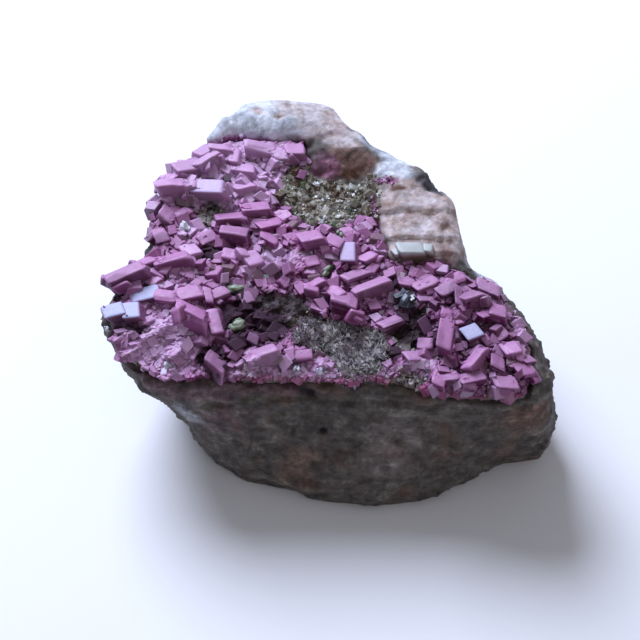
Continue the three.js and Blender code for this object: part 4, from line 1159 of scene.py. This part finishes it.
# Colourless calcite, cleaved: pale grey towards the top, browner and dimmer towards the bottom
paleCalcite = grainFinish("pale cleaved calcite", [
    (0.2, "#6d5b50"), (0.42, "#8f8073"), (0.62, "#a3a39c"), (0.8, "#b3b8b6")], (0.4, 0.6), 1.5)

looseGrains = {
    "sandy_grains": (rockMesh, grains, quartzSand, "matrix_rock", dict(
        share="sand", density=6.0, spacing=0.22, smallest=0.22, largest=0.85, bias=2.0, seed=21,
        upright=0, tumble=180)),
    "sandy_crystals": (rockMesh, stubs, quartzSand, "matrix_rock", dict(
        share="sand", density=0.6, spacing=0.8, smallest=0.5, largest=1.4, seed=23, upright=0.3,
        tumble=60)),
    "bare_grains": (crustMesh, grains, quartzSand, "matrix_rock", dict(
        share="bareShare", density=4.0, spacing=0.28, smallest=0.25, largest=0.6, seed=25,
        upright=0, tumble=180)),
    "green_needles": (rockMesh, needles, greenDruse, "malachite", dict(
        share="green", density=7.0, spacing=0.25, smallest=0.3, largest=0.8, seed=27, upright=0.8,
        tumble=30)),
}
for name, (surface, forms, finish, slot, recipe) in looseGrains.items():
    addPiece(name, scatterOver(surface, name, finish, forms, recipe))

# The rounded green growths: x, y, three radii and a turn, as the solids have them
beads = {
    "malachite_bead_1": (-11.3, -6.9, (1.5, 0.7, 0.8), 4),
    "malachite_bead_2": (-10.8, -12.3, (1.3, 0.9, 0.9), 32),
    "malachite_bead_3": (0.5, -4.4, (1.2, 0.55, 0.7), 58),
    "malachite_bead_4": (2.2, 1.5, (0.6, 0.8, 0.7), 0),
}
beadForm = {
    "lift": 0.45, "swell": 1.12, "knobs": 16, "knobWidth": 0.62, "knobHeight": 0.3,
    "grain": 0.05, "grainSize": 0.18, "seed": 5,
    "darkest": 0.1, "paintedLightLift": 0.7, "lit": (0.2, 0.6),  # painted light: pale on its knobs, above this height
}


def knobbyBall(radii, draw):  # a ball of overlapping knobs, and how near each point is to their tops
    bm = bmesh.new()
    bmesh.ops.create_icosphere(bm, subdivisions=5, radius=1)
    points = np.array([vert.co for vert in bm.verts])
    knobs = [anyWay(draw) for _ in range(beadForm["knobs"])]
    nearest = np.min([np.linalg.norm(points - knob, axis=1) for knob in knobs], axis=0)
    dome = np.sqrt(np.clip(1 - (nearest / beadForm["knobWidth"]) ** 2, 0, 1))
    reach = 1 - beadForm["knobHeight"] * (1 - dome)
    reach += beadForm["grain"] * layeredNoise(points, beadForm["grainSize"], 2, draw.randint(1, 99))
    return meshOf(bm, "bead"), points * reach[:, None] * np.array(radii) * beadForm["swell"], dome


def makeBeads():
    draw = random.Random(beadForm["seed"])
    for name, (x, y, radii, turn) in beads.items():
        mesh, points, dome = knobbyBall(radii, draw)
        points = points @ np.array(turned(turn).to_3x3()).T
        height = heightAt(x, y) + beadForm["lift"] * radii[2]
        setPlaces(mesh, fromPlan(points + [x, y, height]))
        # Painted light on the tops of the knobs; the rest stays dark green as painted shade
        lit = beadForm["paintedLightLift"] * dome * rising(points[:, 2] / radii[2], *beadForm["lit"])
        setShares(mesh, tint=beadForm["darkest"] + lit)
        mesh.materials.append(malachite)
        mesh.shade_smooth()
        addPiece(name + "_growth", mesh, name)


makeBeads()

darkCluster = {
    "at": (10.4, -8.8), "radii": (1.4, 1.7, 1.5), "lift": 0.45, "count": 46, "size": (0.5, 1.15),
    "spread": (0.35, 0.82), "bevel": 0.05, "seed": 9,
}


def makeDarkCluster():
    draw = random.Random(darkCluster["seed"])
    forms, (x, y), radii = [], darkCluster["at"], darkCluster["radii"]
    middle = Vector((x, y, heightAt(x, y) + darkCluster["lift"] * radii[2]))
    for _ in range(darkCluster["count"]):
        way = anyWay(draw)
        way.z = abs(way.z) * 0.9 - 0.2
        spot = middle + Vector(
            [w * r * draw.uniform(*darkCluster["spread"]) for w, r in zip(way, radii)])
        size = [draw.uniform(*darkCluster["size"]) * draw.uniform(0.7, 1.1) for _ in range(3)]
        place = Matrix.Translation(spot) @ anyTurn(draw)
        form = rhombForm(size, draw, bevel=darkCluster["bevel"])
        forms.append(placedForm(form, place, tint=draw.random()))
    mesh = joinedMesh("dark_ore_crystals", forms, darkOre)
    addPiece("dark_ore_crystals", mesh, "dark_ore_cluster")


makeDarkCluster()

# Clear sparkling crystals and dark green specks that stand alone: x, y and size
loneGrains = {
    "clear_sparkles": [
        (-0.9, 11.1, 0.9), (0.3, 8.6, 0.9), (3.2, 6.9, 0.7), (0.2, 4.8, 0.7), (-1.8, 5.6, 0.5),
        (-8.3, -5.1, 0.9), (-17.9, 2.5, 1.2), (-16.6, -0.1, 0.7), (12.6, -17.1, 0.8),
        (-0.5, -19.2, 0.6), (22.9, -18.9, 0.8), (-3.4, -18.6, 0.6), (-19.4, -18.2, 0.7),
        (-5.7, 13.6, 0.9), (4.2, 3.6, 0.6), (-27.4, -13.2, 0.6), (-11.8, -7.6, 0.4),
    ],
    "green_specks": [
        (3.9, 5.7, 1.0), (1.4, 3.1, 0.8), (-2.7, 10.8, 0.8), (-3.9, 6.2, 0.6), (-4.2, -17.7, 0.8),
        (-14.2, 6.6, 0.7), (-19.9, 2.9, 0.6), (16.8, -7.8, 0.6), (-2.0, 9.2, 0.6), (-17.4, 6.4, 0.5),
    ],
}
# The pale block at the front of the terrace, and smaller ones by it: x, y, three lengths and a turn
paleBlocks = [
    (11.5, -1.6, 3.5, 2.3, 3.2, 3), (13.7, -1.5, 1.4, 1.4, 2.6, -12), (9.5, -1.3, 1.2, 1.4, 2.4, 20),
]
loneForm = {
    "count": (2, 4), "size": (0.4, 0.85), "lift": 0.3, "spread": 0.3, "bevel": 0.08, "seed": 31,
}
blockForm = {"proud": 0.3, "cells": 10, "seed": 37}  # its top stands just out of the stone


def makeLoneGrains(name, finish, draw):
    forms = []
    for x, y, size in loneGrains[name]:
        for _ in range(draw.randint(*loneForm["count"])):
            edges = [size * edge for edge in threeOf(draw, *loneForm["size"])]
            turn = anyTurn(draw)
            wander = Vector([draw.gauss(0, loneForm["spread"]) * size for _ in range(3)])
            spot = Vector((x, y, heightAt(x, y) + loneForm["lift"] * size)) + wander
            bevel = loneForm["bevel"] * min(edges)
            form = rhombForm(edges, draw, bevel, chips=draw.randint(0, 1))
            forms.append(placedForm(form, Matrix.Translation(spot) @ turn, tint=draw.random()))
    addPiece(name, joinedMesh(name, forms, finish))


def makePaleBlocks():
    draw = random.Random(blockForm["seed"])
    sides, forms = cubeSides(blockForm["cells"]), []
    for x, y, length, width, height, turn in paleBlocks:
        ground = heightAt(x, y + width)
        spot = Matrix.Translation((x, y, ground + blockForm["proud"] - height / 2))
        form = grownCrystal((length, width, height), draw, sides, 2, 2, spot @ turned(turn), {})
        # Paler towards the top, browner and dimmer towards the bottom
        form["shares"]["tint"] = rising(form["points"][:, 2] - ground, -1.2, 1.4)
        forms.append(form)
    mesh = joinedMesh("pale_blocks", forms, paleCalcite)
    mesh.shade_smooth()
    addPiece("pale_blocks", mesh)


grainDraw = random.Random(loneForm["seed"])
makeLoneGrains("clear_sparkles", clearQuartz, grainDraw)
makeLoneGrains("green_specks", darkGreen, grainDraw)
makePaleBlocks()
